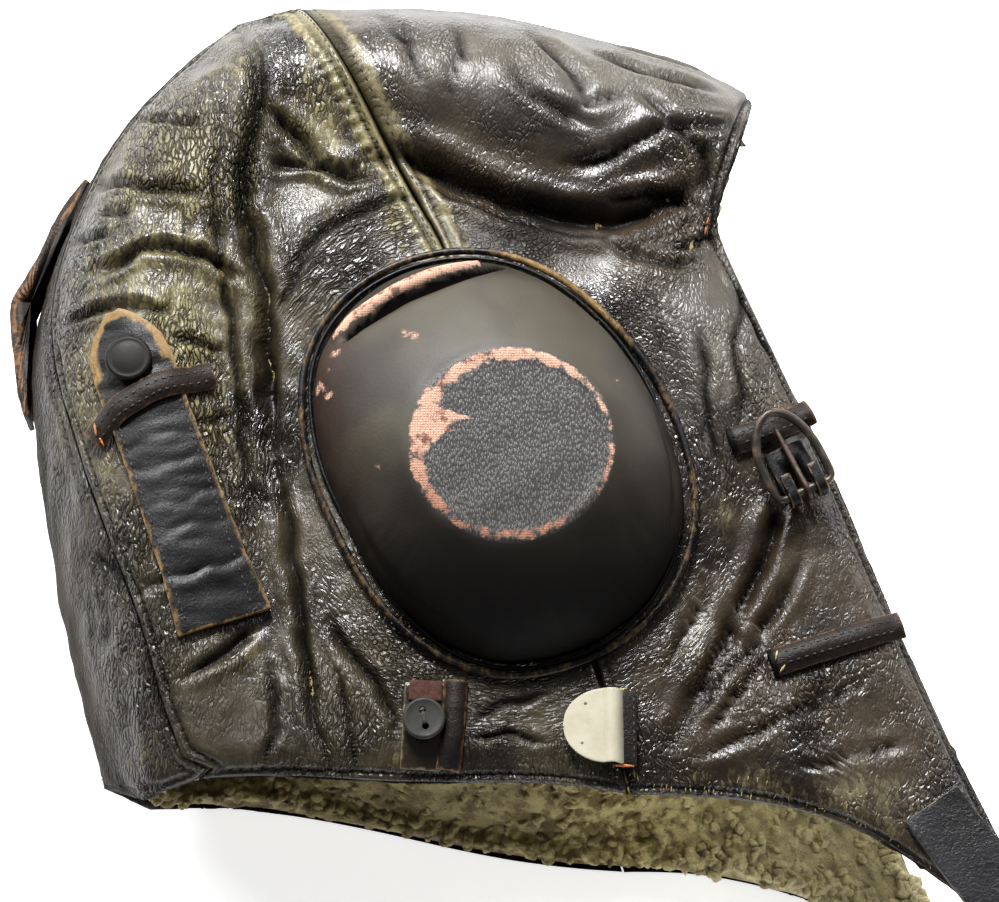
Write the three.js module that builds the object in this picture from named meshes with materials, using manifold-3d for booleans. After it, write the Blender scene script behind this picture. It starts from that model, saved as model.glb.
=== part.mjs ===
// Leather flying helmet with fleece lining and bulged ear cups, lying on its left side.
// Millimetres. +X to the face, +Y to the crown, +Z up from the surface that it lies on.
// The origin is the middle of the left ear cup's flat disc, where it touches that surface.

import * as THREE from 'three';
import { mergeVertices } from 'three/addons/utils/BufferGeometryUtils.js';
import Module from 'manifold-3d';

const wasm = await Module();
wasm.setup();

// Walls and fits
const LEATHER = 2.0;
const FLEECE = 4.6;
const FLEECE_AT_RIM = 2.6;
const GAP = 0.3;
const SEAM_HALF_GAP = 0.3;
const SEAT_GAP = 0.6;
const LINING_GAP = 0.8;
const LINING_INSET = 2;

// Heights of the two sides as they lie
const RIGHT_SIDE_HEIGHT = 93;
const LEFT_EAR_HEIGHT = 30;
const LEFT_SLOPE_REACH = 40;
const FOLD_START = 12;

// Ear cups
const EAR_HOLE_RADIUS = 30;
const CUP_INSET = 5.2;
const CUP_HEIGHT = 29.7;
const CUP_WALL = 2;
const DISC_RADIUS = 28.5;
const CUP_SIDES = 40;
const WELT_WIDTH = 4.4;
const WELT_HEIGHT = 3;
const WELT_SIDES = 8;

// Outline of the ear opening in the leather: angle about the ear in degrees, radius
const EAR_OVAL = [
  [15, 51.6], [41, 53], [63, 57.7], [83, 65.5], [99, 70.8], [116, 73.7], [131, 74.2], [147, 71.5],
  [163, 64.7], [179, 59.1], [198, 54.3], [223, 54.8], [244, 58], [256, 60.1], [270, 61.5],
  [283, 60.8], [300, 60.3], [317, 59.2], [337, 56.9], [355, 54.1],
];

// Edge stations round the helmet, from the brow over the crown and nape, then along both rims.
// ear: angle on the ear outline. x, y, z: edge of the right half. lx, ly, lz: edge of the left half.
// strip: distance of the back strip's seam from the edge. roll: how far in the edge starts to curve.
// A closed station has one shared edge, so it has no left columns.
const STATION_COLUMNS = ['name', 'ear', 'x', 'y', 'z', 'strip', 'roll', 'lx', 'ly', 'lz'];
const STATION_ROWS = [
  ['brow_corner', 67, 74.5, 131.5, 52, 4, 34],
  ['brow', 74, 57, 143, 52, 4, 36],
  ['crown_front', 82, 27, 151, 52, 4, 38],
  ['crown_middle', 90, -3, 160, 52, 4, 38],
  ['crown', 98, -35, 162, 52, 4, 38],
  ['crown_seam', 105, -66, 160.5, 52, 4, 38],
  ['crown_back', 115, -86, 157, 52, 4, 38],
  ['back_1', 126, -104, 140, 52, 4, 38],
  ['back_2', 136, -122, 118, 52, 4, 38],
  ['back_3', 146, -132, 97, 50, 4, 38],
  ['back_4', 155, -140.5, 72, 50, 4.5, 38],
  ['back_5', 165, -145, 46, 50, 9, 38],
  ['back_6', 175, -142.5, 22, 50, 14, 38],
  ['back_7', 186, -138, -8, 50, 18, 38],
  ['back_8', 198, -132, -38, 48, 23, 38],
  ['back_9', 209, -126, -60, 46, 25, 36],
  ['nape_corner', 219, -119, -81, 45, 24, 32],
  ['nape_rim', 228, -104, -92, 80, 15, 22, -109, -79, 9],
  ['strip_end', 237, -88, -87.5, 86, 4, 16, -85, -77.5, 1.5],
  ['neck_1', 246, -64, -86.8, 88, 4, 14, -63, -80, 1],
  ['neck_2', 255, -38, -89, 88, 4, 14, -36, -85.5, 1],
  ['neck_3', 264, -14, -89.3, 88, 4, 14, -14, -91, 1],
  ['neck_4', 276, 10, -88.7, 88, 4, 14, 12, -95.5, 1],
  ['cheek_seam', 293, 33, -92.5, 88, 4, 14, 34, -97, 1],
  ['jaw_1', 303, 56, -93, 88, 4, 14, 57, -97, 1],
  ['jaw_2', 311, 80, -96, 88, 4, 14, 78, -102, 1.5],
  ['jaw_3', 318, 103, -104.5, 88, 4, 14, 97, -108, 3],
  ['chin_1', 324, 122, -119, 89, 4, 22, 113, -117, 4.2],
  ['chin_bottom', 329, 138, -133, 89, 4, 22, 128, -128, 4.2],
  ['chin_top', 333, 146, -123, 89, 4, 22, 131.5, -120, 4.2],
  ['face_1', 338, 135, -104, 89, 4, 22, 122.5, -105, 4.2],
  ['face_2', 344, 122, -75, 88, 4, 14, 113, -78, 3],
  ['face_3', 350, 112, -50, 88, 4, 14, 104, -52, 1],
  ['face_4', 358, 101, -21, 88, 4, 14, 95, -22, 1],
  ['face_5', 6, 92, 4, 88, 4, 14, 88, 4, 1],
  ['face_6', 15, 82.5, 26, 88, 4, 14, 80, 27, 1],
  ['face_7', 26, 73.5, 47, 88, 4, 14, 72, 47, 1],
  ['face_8', 37, 65, 67, 87, 4, 14, 64, 67, 1.5],
  ['face_notch', 46, 60, 80.5, 84, 4, 14, 60, 80.5, 4],
  ['brow_edge_1', 52, 63, 90, 90, 4, 14, 61, 91, 3.5],
  ['brow_edge_2', 57, 67.5, 103, 92, 4, 16, 63.5, 104.5, 3],
  ['brow_edge_3', 61, 71, 116, 84, 4, 20, 68, 118, 10],
  ['brow_edge_4', 64, 73.5, 126.5, 68, 4, 28, 72, 127, 26],
];

// Large folds of the upper, right side: height gained, half width, and the line that they follow
const RIGHT_FOLDS = [
  { name: 'crown roll', rise: 6, reach: 20, line: [[-60, 138], [-30, 130], [0, 125], [35, 115], [68, 107]] },
  { name: 'crease under the roll', rise: -11, reach: 12, line: [[-66, 106], [-40, 100], [-12, 91], [22, 82], [48, 80], [60, 80]] },
  { name: 'valley behind the ear', rise: -9, reach: 9, line: [[-86, 150], [-82, 110], [-77, 60], [-73, 10], [-66, -60]] },
  { name: 'rear panel swell', rise: 4, reach: 20, line: [[-108, 108], [-113, 60], [-104, 0], [-94, -50]] },
  { name: 'cheek hollow', rise: -4, reach: 8, line: [[74, -10], [64, -45], [52, -80]] },
  { name: 'temple swell', rise: 3, reach: 14, line: [[45, 60], [68, 20]] },
];
const LEFT_FOLDS = [
  { name: 'room for the chin strap', rise: 4.2, reach: 26, line: [[114, -104], [140, -140]] },
];

// Ear cup profile: share of the way from base to disc, share of the height
const CUP_PROFILE = [[0, 0], [0.03, 0.2], [0.14, 0.4], [0.36, 0.63], [0.66, 0.84], [0.9, 0.97], [1, 1]];

// Evening out of the leather between the ear outline and the curved edge
const EASING_PASSES = 3;
const EASING = 0.5;
const NORMAL_PASSES = 2;

// Fittings
const GOGGLE_STRAP = { thickness: 2.2, top: [-115.5, 49], bottom: [-81, -44] };
// Share of the strap's length, width there
const GOGGLE_STRAP_WIDTHS = [[0, 2.5], [0.04, 13], [0.09, 19], [0.16, 22], [0.5, 23], [0.82, 24.5], [1, 27.5]];
const GOGGLE_STRAP_STEPS = [0, 0.04, 0.09, 0.16, 0.23, 0.3, 0.37, 0.44, 0.51, 0.58, 0.65, 0.73, 0.82, 0.91, 1];
// Radius and height of the cap's outline, from the middle of its foot to the middle of its top
const CAP_PROFILE = [[0, 0], [6.2, 0], [6.8, 0.9], [6.6, 2], [5.2, 2.9], [4.4, 3.2], [0, 3.2]];
const CAP_ALONG = 0.17;
const CAP_SEAT_REACH = 6;
const CAP_LIFT = 0.3;
const ARCH_LIFT = 0.5;
const ARCH_END = 0.3;
const KEEPER = { width: 6.3, thickness: 2.4, from: [-120.5, 10.5], to: [-86, 30.5] };
const STRAP_CROSSING = [0.12, 0.88];
const UPPER_LOOP = { width: 6.8, thickness: 2.2, from: [62.5, 9.2], to: [86.5, 19.5] };
const LOWER_LOOP = { width: 6.5, thickness: 2.4, from: [73, -55.5], to: [110.5, -44] };
const BUTTON = { radius: 6.4, thickness: 2.6, x: -24.5, y: -72.4, hole: 0.9, holeSpacing: 4.6 };
const BUTTON_PATCH = { width: 11.5, thickness: 1.4, from: [-24.2, -63.5], to: [-25.5, -86] };
const CORD_LOOP = { radius: 1.7, probe: 3, route: [[-14.6, -64.5], [-14.8, -70], [-15.3, -77], [-17.4, -86]] };
const HOOK = {
  left: 14.3, right: 30.3, middleY: -74.2, height: 21, sheet: 1.3, bend: 2.3, leaf: 11, roundReach: 12.5,
};
const HOOK_STRIP = { width: 4.2, thickness: 1.6, x: 33, from: -63.8, to: -85 };
const WIRE_SIDES = 10;
const WIRE_STEP = 1.6;
const BUCKLE = { wire: 1.35, left: [76.5, -9.5], right: [91.3, -2.5], reach: 24, lift: 4.6, probe: 5 };
const BUCKLE_BULGE = { right: 0.4, shoulder: 0.2, left: 0.8, topShare: 0.6, topRight: 20.5, topLeft: 21.5 };
const PRONG = { wire: 0.9, clearance: 0.45, tip: 21.5, fromTurn: -30, toTurn: -270, steps: 8 };
// Distance from the bar, height over the bar's middle
const PRONG_RISE = [[6, 1.9], [12, 1.5]];
const PRONG_TIP_HEIGHT = 1.3;
const BUCKLE_TAB = { thickness: 1.8, clearance: 0.4, width: 11.8, tail: 15, overlap: 6, slot: 5.4, slotMargin: 1 };
const BACK_STRAP = {
  width: 15, thickness: 1.8, middleZ: 50, steps: 26,
  route: [[-129.3, 106], [-137.5, 94], [-142.5, 81], [-147, 72.5], [-150.4, 65.5], [-150.2, 58], [-148.4, 48],
    [-147.2, 38], [-144.8, 30]],
};
const BACK_STUD = { radius: 3, height: 1.7, x: -147.7, y: 60 };
const CHIN_STRAP = { width: 18, thickness: 2.2, start: [116.3, -96.3], along: [0.57, -0.82], straight: 50 };
const CHIN_PROBE = { x: 126, y: -110, reach: 12 };
const CHIN_SHIFT = 9;
const CHIN_RIGHT_STEPS = [0, 12, 25, 38];
const CHIN_LEFT_STEPS = [9, 22, 36];
const CHIN_RISE = { before: 6, height: 0.4 };
const CHIN_BEND_STEPS = 16;
// Shares of the half turn round the chin: where the two ends overlap and where the inner one tucks in
const CHIN_OVERLAP = 0.55;
const CHIN_RIGHT_END = 0.7;
const CHIN_TUCK = [0.75, 0.98];
const CHIN_STUD = { radius: 5, height: 2, share: 0.62, sides: 20 };

// Finishes
const finish = (color, roughness, metalness) => new THREE.MeshStandardMaterial({ color, roughness, metalness });
const darkLeather = () => finish(0x2e2a24, 0.55, 0);
const strapLeather = () => finish(0x241f1a, 0.6, 0);
const cupLeathercloth = () => finish(0x2a2723, 0.35, 0);
const fleeceWool = () => finish(0xb7a662, 1, 0);
const creamPaint = () => finish(0xd9d3bc, 0.45, 0.1);
const wornEnamel = () => finish(0x4a3c33, 0.45, 0.7);
const copperWire = () => finish(0x8c6a50, 0.45, 0.8);
const capMetal = () => finish(0x3a342f, 0.4, 0.8);
const nickel = () => finish(0xa8a59c, 0.35, 0.9);
const greyHorn = () => finish(0x4b4b4a, 0.5, 0);

const helmet = new THREE.Group();

function addPiece(name, geometry, material) {
  const mesh = new THREE.Mesh(geometry, material);
  mesh.name = name;
  helmet.add(mesh);
  return mesh;
}

// Closed solids from lists of points

const vec = (x, y, z) => new THREE.Vector3(x, y, z);

function geometryOf(points, triangles) {
  const geometry = new THREE.BufferGeometry();
  const positions = new Float32Array(points.flatMap((p) => [p.x, p.y, p.z]));
  geometry.setAttribute('position', new THREE.BufferAttribute(positions, 3));
  geometry.setIndex(triangles);
  return geometry;
}

// A closed solid from rows of points, each row one section, joined row to row and capped
function loft(rows, closedPath = false) {
  const count = rows[0].length;
  const triangles = [];
  const joins = closedPath ? rows.length : rows.length - 1;
  for (let r = 0; r < joins; r += 1) {
    const next = (r + 1) % rows.length;
    for (let k = 0; k < count; k += 1) {
      const a = r * count + k;
      const b = r * count + ((k + 1) % count);
      const c = next * count + ((k + 1) % count);
      const d = next * count + k;
      triangles.push(a, b, c, a, c, d);
    }
  }
  if (!closedPath) {
    const last = (rows.length - 1) * count;
    for (let k = 1; k < count - 1; k += 1) {
      triangles.push(0, k + 1, k);
      triangles.push(last, last + k, last + k + 1);
    }
  }
  return outward(geometryOf(rows.flat(), triangles));
}

function signedVolume(geometry) {
  const p = geometry.attributes.position;
  const index = geometry.index.array;
  let sum = 0;
  for (let t = 0; t < index.length; t += 3) {
    const [a, b, c] = [0, 1, 2].map((k) => new THREE.Vector3().fromBufferAttribute(p, index[t + k]));
    sum += a.dot(b.cross(c));
  }
  return sum;
}

function outward(geometry) {
  if (signedVolume(geometry) < 0) {
    const index = geometry.index.array;
    for (let t = 0; t < index.length; t += 3) {
      [index[t], index[t + 1]] = [index[t + 1], index[t]];
    }
  }
  return geometry;
}

function toSolid(geometry) {
  const plain = geometry.clone();
  plain.deleteAttribute('normal');
  plain.deleteAttribute('uv');
  const merged = mergeVertices(plain, 1e-4);
  return new wasm.Manifold(new wasm.Mesh({
    numProp: 3,
    vertProperties: new Float32Array(merged.attributes.position.array),
    triVerts: new Uint32Array(merged.index.array),
  }));
}

function fromSolid(solid) {
  const mesh = solid.getMesh();
  const geometry = new THREE.BufferGeometry();
  const positions = new Float32Array(mesh.vertProperties);
  geometry.setAttribute('position', new THREE.BufferAttribute(positions, 3));
  geometry.setIndex(Array.from(mesh.triVerts));
  return geometry;
}

// The leather body: one grid of points over both sides, columns at the stations

const smoothstep = (low, high, value) => THREE.MathUtils.smoothstep(value, low, high);

function earRadius(degrees) {
  const angle = ((degrees % 360) + 360) % 360;
  const rows = [...EAR_OVAL, [EAR_OVAL[0][0] + 360, EAR_OVAL[0][1]]];
  const wrapped = angle < rows[0][0] ? angle + 360 : angle;
  const k = rows.findIndex((row, i) => i < rows.length - 1 && wrapped <= rows[i + 1][0]);
  const t = (wrapped - rows[k][0]) / (rows[k + 1][0] - rows[k][0]);
  const before = EAR_OVAL[(k + EAR_OVAL.length - 1) % EAR_OVAL.length][1];
  const after = EAR_OVAL[(k + 2) % EAR_OVAL.length][1];
  const [from, to] = [rows[k][1], rows[k + 1][1]];
  const slopeIn = (to - before) / 2;
  const slopeOut = (after - from) / 2;
  const [t2, t3] = [t * t, t * t * t];
  return (2 * t3 - 3 * t2 + 1) * from + (t3 - 2 * t2 + t) * slopeIn
    + (3 * t2 - 2 * t3) * to + (t3 - t2) * slopeOut;
}

function earPoint(degrees, inset = 0) {
  const angle = THREE.MathUtils.degToRad(degrees);
  const radius = earRadius(degrees) - inset;
  return new THREE.Vector2(radius * Math.cos(angle), radius * Math.sin(angle));
}

const stations = STATION_ROWS.map((row) => {
  const station = Object.fromEntries(STATION_COLUMNS.map((column, i) => [column, row[i]]));
  station.closed = station.lx === undefined;
  if (station.closed) {
    [station.lx, station.ly, station.lz] = [station.x, station.y, station.z];
  }
  return station;
});
const stationNumber = (name) => stations.findIndex((station) => station.name === name);

function distanceToLine(x, y, line) {
  let nearest = Infinity;
  for (let k = 0; k < line.length - 1; k += 1) {
    const [[x1, y1], [x2, y2]] = [line[k], line[k + 1]];
    const [dx, dy] = [x2 - x1, y2 - y1];
    const t = THREE.MathUtils.clamp(((x - x1) * dx + (y - y1) * dy) / (dx * dx + dy * dy), 0, 1);
    nearest = Math.min(nearest, Math.hypot(x - x1 - t * dx, y - y1 - t * dy));
  }
  return nearest;
}

const foldHeight = (folds, x, y) => folds
  .reduce((sum, fold) => sum + fold.rise * Math.exp(-((distanceToLine(x, y, fold.line) / fold.reach) ** 2)), 0);

// Rows from the ear hole out to the edge
const FLAT_ROWS = 5;
const ROLL_ROWS = 3;
const STRIP_ROWS = 3;
const EAR_ROW = 1;
const STRIP_SEAM_ROW = EAR_ROW + FLAT_ROWS + ROLL_ROWS;
const EDGE_ROW = STRIP_SEAM_ROW + STRIP_ROWS;
const LAST_ROW = 2 * EDGE_ROW + 1;

// Distances from the edge at which a station's rows lie, from the ear outline to the edge
function rowDistances(station, length) {
  const roll = Math.min(station.roll, length * 0.6);
  const seamTurn = Math.acos(1 - Math.min(station.strip, roll * 0.95) / roll);
  const distances = [];
  for (let k = 0; k <= FLAT_ROWS; k += 1) {
    distances.push(THREE.MathUtils.lerp(length, roll, k / FLAT_ROWS));
  }
  for (let k = 1; k <= ROLL_ROWS; k += 1) {
    const turn = THREE.MathUtils.lerp(Math.PI / 2, seamTurn, k / ROLL_ROWS);
    distances.push(roll * (1 - Math.cos(turn)));
  }
  for (let k = 1; k <= STRIP_ROWS; k += 1) {
    distances.push(roll * (1 - Math.cos(seamTurn * (1 - k / STRIP_ROWS))));
  }
  return { roll, distances };
}

// Share of the way from the edge's height to the side's height, at a distance from the edge
function rollShare(station, roll, distance) {
  const inward = Math.min(distance / roll, 1);
  return station.closed ? Math.sqrt(1 - (1 - inward) ** 2) : 1 - (1 - inward) ** 2;
}

function sidePoints(station, edge, heightAt) {
  const outline = earPoint(station.ear);
  const span = new THREE.Vector2(edge.x - outline.x, edge.y - outline.y);
  const length = span.length();
  span.normalize();
  const { roll, distances } = rowDistances(station, length);
  const hole = outline.clone().setLength(EAR_HOLE_RADIUS);
  const points = [vec(hole.x, hole.y, heightAt(hole.x, hole.y, 0, length))];
  for (const distance of distances) {
    const x = edge.x - span.x * distance;
    const y = edge.y - span.y * distance;
    const height = heightAt(x, y, length - distance, length);
    const share = rollShare(station, roll, distance);
    points.push(vec(x, y, THREE.MathUtils.lerp(edge.z, height, share)));
  }
  return points;
}

function rightHeight(x, y, fromEar) {
  return RIGHT_SIDE_HEIGHT + foldHeight(RIGHT_FOLDS, x, y) * smoothstep(0, FOLD_START, fromEar);
}

function leftHeight(x, y, fromEar, length) {
  const reach = Math.min(LEFT_SLOPE_REACH, length * 0.8);
  const slope = LEFT_EAR_HEIGHT * (1 - smoothstep(0, reach, fromEar));
  return slope + foldHeight(LEFT_FOLDS, x, y) * smoothstep(0, FOLD_START, fromEar);
}

let grid = stations.map((station) => [
  ...sidePoints(station, vec(station.x, station.y, station.z), rightHeight),
  ...sidePoints(station, vec(station.lx, station.ly, station.lz), leftHeight).reverse(),
]);

const column = (i) => (i + grid.length) % grid.length;

// The rows before and after a point, which stay on its own half where the rim is open
function rowsBeside(i, j) {
  let [before, after] = [Math.max(j - 1, 0), Math.min(j + 1, LAST_ROW)];
  if (stations[i].closed && (j === EDGE_ROW || j === EDGE_ROW + 1)) {
    [before, after] = [EDGE_ROW - 1, EDGE_ROW + 2];
  } else if (j === EDGE_ROW) {
    after = j;
  } else if (j === EDGE_ROW + 1) {
    before = j;
  }
  return [before, after];
}

// Sum of a table's values at the four points beside one
function sumBeside(table, i, j) {
  const [before, after] = rowsBeside(i, j);
  const sum = table[i][before].clone().add(table[i][after]);
  return sum.add(table[column(i - 1)][j]).add(table[column(i + 1)][j]);
}

const isEased = (j) => j > EAR_ROW + 1 && j < STRIP_SEAM_ROW;
for (let pass = 0; pass < EASING_PASSES; pass += 1) {
  grid = grid.map((points, i) => points.map((point, j) => {
    if (!isEased(j) && !isEased(LAST_ROW - j)) {
      return point;
    }
    const middle = sumBeside(grid, i, j).divideScalar(4);
    return vec(point.x, point.y, THREE.MathUtils.lerp(point.z, middle.z, EASING));
  }));
}

// Outward direction at each grid point, from its neighbours, evened out over them
let normals = grid.map((points, i) => points.map((point, j) => {
  const [before, after] = rowsBeside(i, j);
  const along = points[after].clone().sub(points[before]);
  const around = grid[column(i + 1)][j].clone().sub(grid[column(i - 1)][j]);
  return along.cross(around).normalize();
}));
for (let pass = 0; pass < NORMAL_PASSES; pass += 1) {
  normals = normals.map((row, i) => row.map((normal, j) => sumBeside(normals, i, j)
    .addScaledVector(normal, 2).normalize()));
}

// All cells of the body: one between each two columns and rows, none across the open rims
const allCells = [];
for (let i = 0; i < grid.length; i += 1) {
  for (let j = 0; j < LAST_ROW; j += 1) {
    if (j !== EDGE_ROW) {
      allCells.push([i, j]);
    }
  }
}

// One number for each grid point; a closed station's two edge points are one
function pointKey(i, j) {
  const shared = stations[i].closed && j === EDGE_ROW + 1 ? EDGE_ROW : j;
  return i * (LAST_ROW + 1) + shared;
}

const cellCorners = ([i, j]) => [[i, j], [column(i + 1), j], [column(i + 1), j + 1], [i, j + 1]];

function edgesOf(cells) {
  const edges = new Map();
  for (const cell of cells) {
    const keys = cellCorners(cell).map(([i, j]) => pointKey(i, j));
    keys.forEach((key, k) => edges.set(`${key}_${keys[(k + 1) % 4]}`, [key, keys[(k + 1) % 4]]));
  }
  return edges;
}

const rimEdges = (edges) => [...edges.values()].filter(([a, b]) => !edges.has(`${b}_${a}`));
const bodyRimPoints = new Set(rimEdges(edgesOf(allCells)).map(([a, b]) => `${a}_${b}`));

// A wall over some of the cells, under the outer face, set back and thinner at the open rims
function wall(cells, outerDepth, thickness, rimInset = 0, rimThickness = thickness) {
  const cellsAt = new Map();
  for (const cell of cells) {
    const corners = cellCorners(cell);
    const middle = corners.reduce((sum, [i, j]) => sum.add(grid[i][j]), vec(0, 0, 0)).divideScalar(4);
    for (const [i, j] of corners) {
      const key = pointKey(i, j);
      if (!cellsAt.has(key)) {
        cellsAt.set(key, { i, j, middles: [] });
      }
      cellsAt.get(key).middles.push(middle);
    }
  }
  const edges = edgesOf(cells);
  const open = rimEdges(edges);
  const rimKeys = new Set(open.flat());
  const seamKeys = new Set(open.filter(([a, b]) => !bodyRimPoints.has(`${a}_${b}`)).flat());
  const points = [];
  const numberOf = new Map();
  for (const [key, { i, j, middles }] of cellsAt) {
    const shift = vec(0, 0, 0);
    if (rimKeys.has(key)) {
      middles.forEach((middle) => shift.add(middle.clone().sub(grid[i][j])));
      shift.setLength(seamKeys.has(key) ? SEAM_HALF_GAP : rimInset);
    }
    numberOf.set(key, points.length / 2);
    for (const depth of [outerDepth, outerDepth + (rimKeys.has(key) ? rimThickness : thickness)]) {
      points.push(grid[i][j].clone().addScaledVector(normals[i][j], -depth).add(shift));
    }
  }
  const triangles = [];
  for (const cell of cells) {
    const [a, b, c, d] = cellCorners(cell).map(([i, j]) => 2 * numberOf.get(pointKey(i, j)));
    triangles.push(a, c, b, a, d, c);
    triangles.push(a + 1, b + 1, c + 1, a + 1, c + 1, d + 1);
  }
  for (const [from, to] of open) {
    const [a, b] = [2 * numberOf.get(from), 2 * numberOf.get(to)];
    triangles.push(a, b, b + 1, a, b + 1, a + 1);
  }
  return outward(geometryOf(points, triangles));
}

const crownSeam = stationNumber('crown_seam');
const stripEnd = stationNumber('strip_end');
const cheekSeam = stationNumber('cheek_seam');
const onRight = ([, j]) => j < EDGE_ROW;
const inFront = ([i]) => i < crownSeam || i >= cheekSeam;
const inStrip = ([i, j]) => i >= crownSeam && i < stripEnd
  && j >= STRIP_SEAM_ROW && j < LAST_ROW - STRIP_SEAM_ROW;
const isRear = (cell) => !inFront(cell) && !inStrip(cell);

addPiece('front_panel', wall(allCells.filter(inFront), 0, LEATHER), darkLeather());
addPiece('back_strip', wall(allCells.filter(inStrip), 0, LEATHER), darkLeather());
addPiece('rear_panel_right', wall(allCells.filter((c) => isRear(c) && onRight(c)), 0, LEATHER), darkLeather());
addPiece('rear_panel_left', wall(allCells.filter((c) => isRear(c) && !onRight(c)), 0, LEATHER), darkLeather());
const lining = wall(allCells, LEATHER + LINING_GAP, FLEECE, LINING_INSET, FLEECE_AT_RIM);
addPiece('fleece_lining', lining, fleeceWool());

// Height of the right side's outer face over a point of the plan
function topHeight(x, y) {
  let best = -Infinity;
  for (const cell of allCells.filter(onRight)) {
    const [a, b, c, d] = cellCorners(cell).map(([i, j]) => grid[i][j]);
    for (const [p, q, r] of [[a, b, c], [a, c, d]]) {
      const area = (q.x - p.x) * (r.y - p.y) - (r.x - p.x) * (q.y - p.y);
      const v = ((x - p.x) * (r.y - p.y) - (r.x - p.x) * (y - p.y)) / area;
      const w = ((q.x - p.x) * (y - p.y) - (x - p.x) * (q.y - p.y)) / area;
      if (v >= -1e-9 && w >= -1e-9 && v + w <= 1 + 1e-9) {
        best = Math.max(best, p.z + v * (q.z - p.z) + w * (r.z - p.z));
      }
    }
  }
  return best;
}

// Height that a flat patch must keep to clear the leather all round a point
function clearHeight(x, y, reach) {
  let best = -Infinity;
  for (let turn = 0; turn < 8; turn += 1) {
    const angle = (turn * Math.PI) / 4;
    best = Math.max(best, topHeight(x + reach * Math.cos(angle), y + reach * Math.sin(angle)));
  }
  return Math.max(best, topHeight(x, y));
}

// A flat strip that follows the leather: samples hold x, y, width and extra height
const STRIP_PROBE = 2.4;
const STRIP_SIDES = [-1, -0.5, 0, 0.5, 1];

function strip(samples, thickness) {
  const rows = samples.map((sample, k) => {
    const before = samples[Math.max(k - 1, 0)];
    const after = samples[Math.min(k + 1, samples.length - 1)];
    const across = new THREE.Vector2(before.y - after.y, after.x - before.x).setLength(sample.width / 2);
    const lower = STRIP_SIDES.map((side) => {
      const x = sample.x + across.x * side;
      const y = sample.y + across.y * side;
      return vec(x, y, clearHeight(x, y, STRIP_PROBE) + SEAT_GAP + (sample.lift ?? 0));
    });
    const upper = lower.map((point) => point.clone().add(vec(0, 0, thickness))).reverse();
    return [...lower, ...upper];
  });
  return loft(rows);
}

function straightSamples(from, to, count, widthAt, liftAt = () => 0) {
  return Array.from({ length: count }, (_, k) => {
    const t = k / (count - 1);
    return {
      x: THREE.MathUtils.lerp(from[0], to[0], t),
      y: THREE.MathUtils.lerp(from[1], to[1], t),
      width: widthAt(t),
      lift: liftAt(t),
    };
  });
}

// Ear cups and welts

const cupAngles = Array.from({ length: CUP_SIDES }, (_, k) => (k * 360) / CUP_SIDES);

function cupRing(share, height, shrink) {
  return cupAngles.map((degrees) => {
    const base = earPoint(degrees, CUP_INSET + shrink);
    const angle = THREE.MathUtils.degToRad(degrees);
    const rim = DISC_RADIUS - shrink;
    const x = THREE.MathUtils.lerp(base.x, rim * Math.cos(angle), share);
    const y = THREE.MathUtils.lerp(base.y, rim * Math.sin(angle), share);
    return vec(x, y, height);
  });
}

// Outer rings from base to disc, then inner rings back down to an open base
function cupGeometry(baseZ, direction) {
  const outer = CUP_PROFILE.map(([share, rise]) => cupRing(share, baseZ + direction * rise * CUP_HEIGHT, 0));
  const inner = CUP_PROFILE.map(([share, rise]) => {
    const height = rise * (CUP_HEIGHT - CUP_WALL);
    return cupRing(share, baseZ + direction * height, CUP_WALL);
  });
  const count = CUP_SIDES;
  const rings = [...inner.reverse(), ...outer];
  const points = rings.flat();
  const triangles = [];
  for (let r = 0; r < rings.length - 1; r += 1) {
    for (let k = 0; k < count; k += 1) {
      const a = r * count + k;
      const b = r * count + ((k + 1) % count);
      triangles.push(a, b, b + count, a, b + count, a + count);
    }
  }
  const last = (rings.length - 1) * count;
  for (let k = 1; k < count - 1; k += 1) {
    triangles.push(0, k + 1, k);
    triangles.push(last, last + k, last + k + 1);
  }
  return outward(geometryOf(points, triangles));
}

function weltGeometry(baseZ, direction) {
  const rows = cupAngles.map((degrees) => Array.from({ length: WELT_SIDES }, (_, k) => {
    const turn = ((k + 0.5) * 2 * Math.PI) / WELT_SIDES;
    const point = earPoint(degrees, WELT_WIDTH / 2 + (WELT_WIDTH / 2) * Math.cos(turn));
    return vec(point.x, point.y, baseZ + direction * (WELT_HEIGHT / 2) * (1 + Math.sin(turn)));
  }));
  return loft(rows, true);
}

const rightBase = RIGHT_SIDE_HEIGHT + GAP;
const leftBase = LEFT_EAR_HEIGHT - GAP;
addPiece('ear_cup_right', cupGeometry(rightBase, 1), cupLeathercloth());
addPiece('ear_cup_left', cupGeometry(leftBase, -1), cupLeathercloth());
addPiece('ear_welt_right', weltGeometry(rightBase, 1), cupLeathercloth());
addPiece('ear_welt_left', weltGeometry(leftBase, -1), cupLeathercloth());

// Goggle strap with its press cap, and the keeper over it

function tableValue(table, at) {
  const k = Math.max(table.findIndex((row, i) => i < table.length - 1 && at <= table[i + 1][0]), 0);
  const t = (at - table[k][0]) / (table[k + 1][0] - table[k][0]);
  return THREE.MathUtils.lerp(table[k][1], table[k + 1][1], t);
}

const goggleWidth = (t) => tableValue(GOGGLE_STRAP_WIDTHS, t);
const strapPlace = (t) => [0, 1].map((k) => THREE.MathUtils.lerp(GOGGLE_STRAP.top[k], GOGGLE_STRAP.bottom[k], t));
const goggleSamples = GOGGLE_STRAP_STEPS.map((t) => {
  const [x, y] = strapPlace(t);
  return { x, y, width: goggleWidth(t), lift: t < ARCH_END ? ARCH_LIFT : 0 };
});
addPiece('goggle_strap', strip(goggleSamples, GOGGLE_STRAP.thickness), strapLeather());

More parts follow.
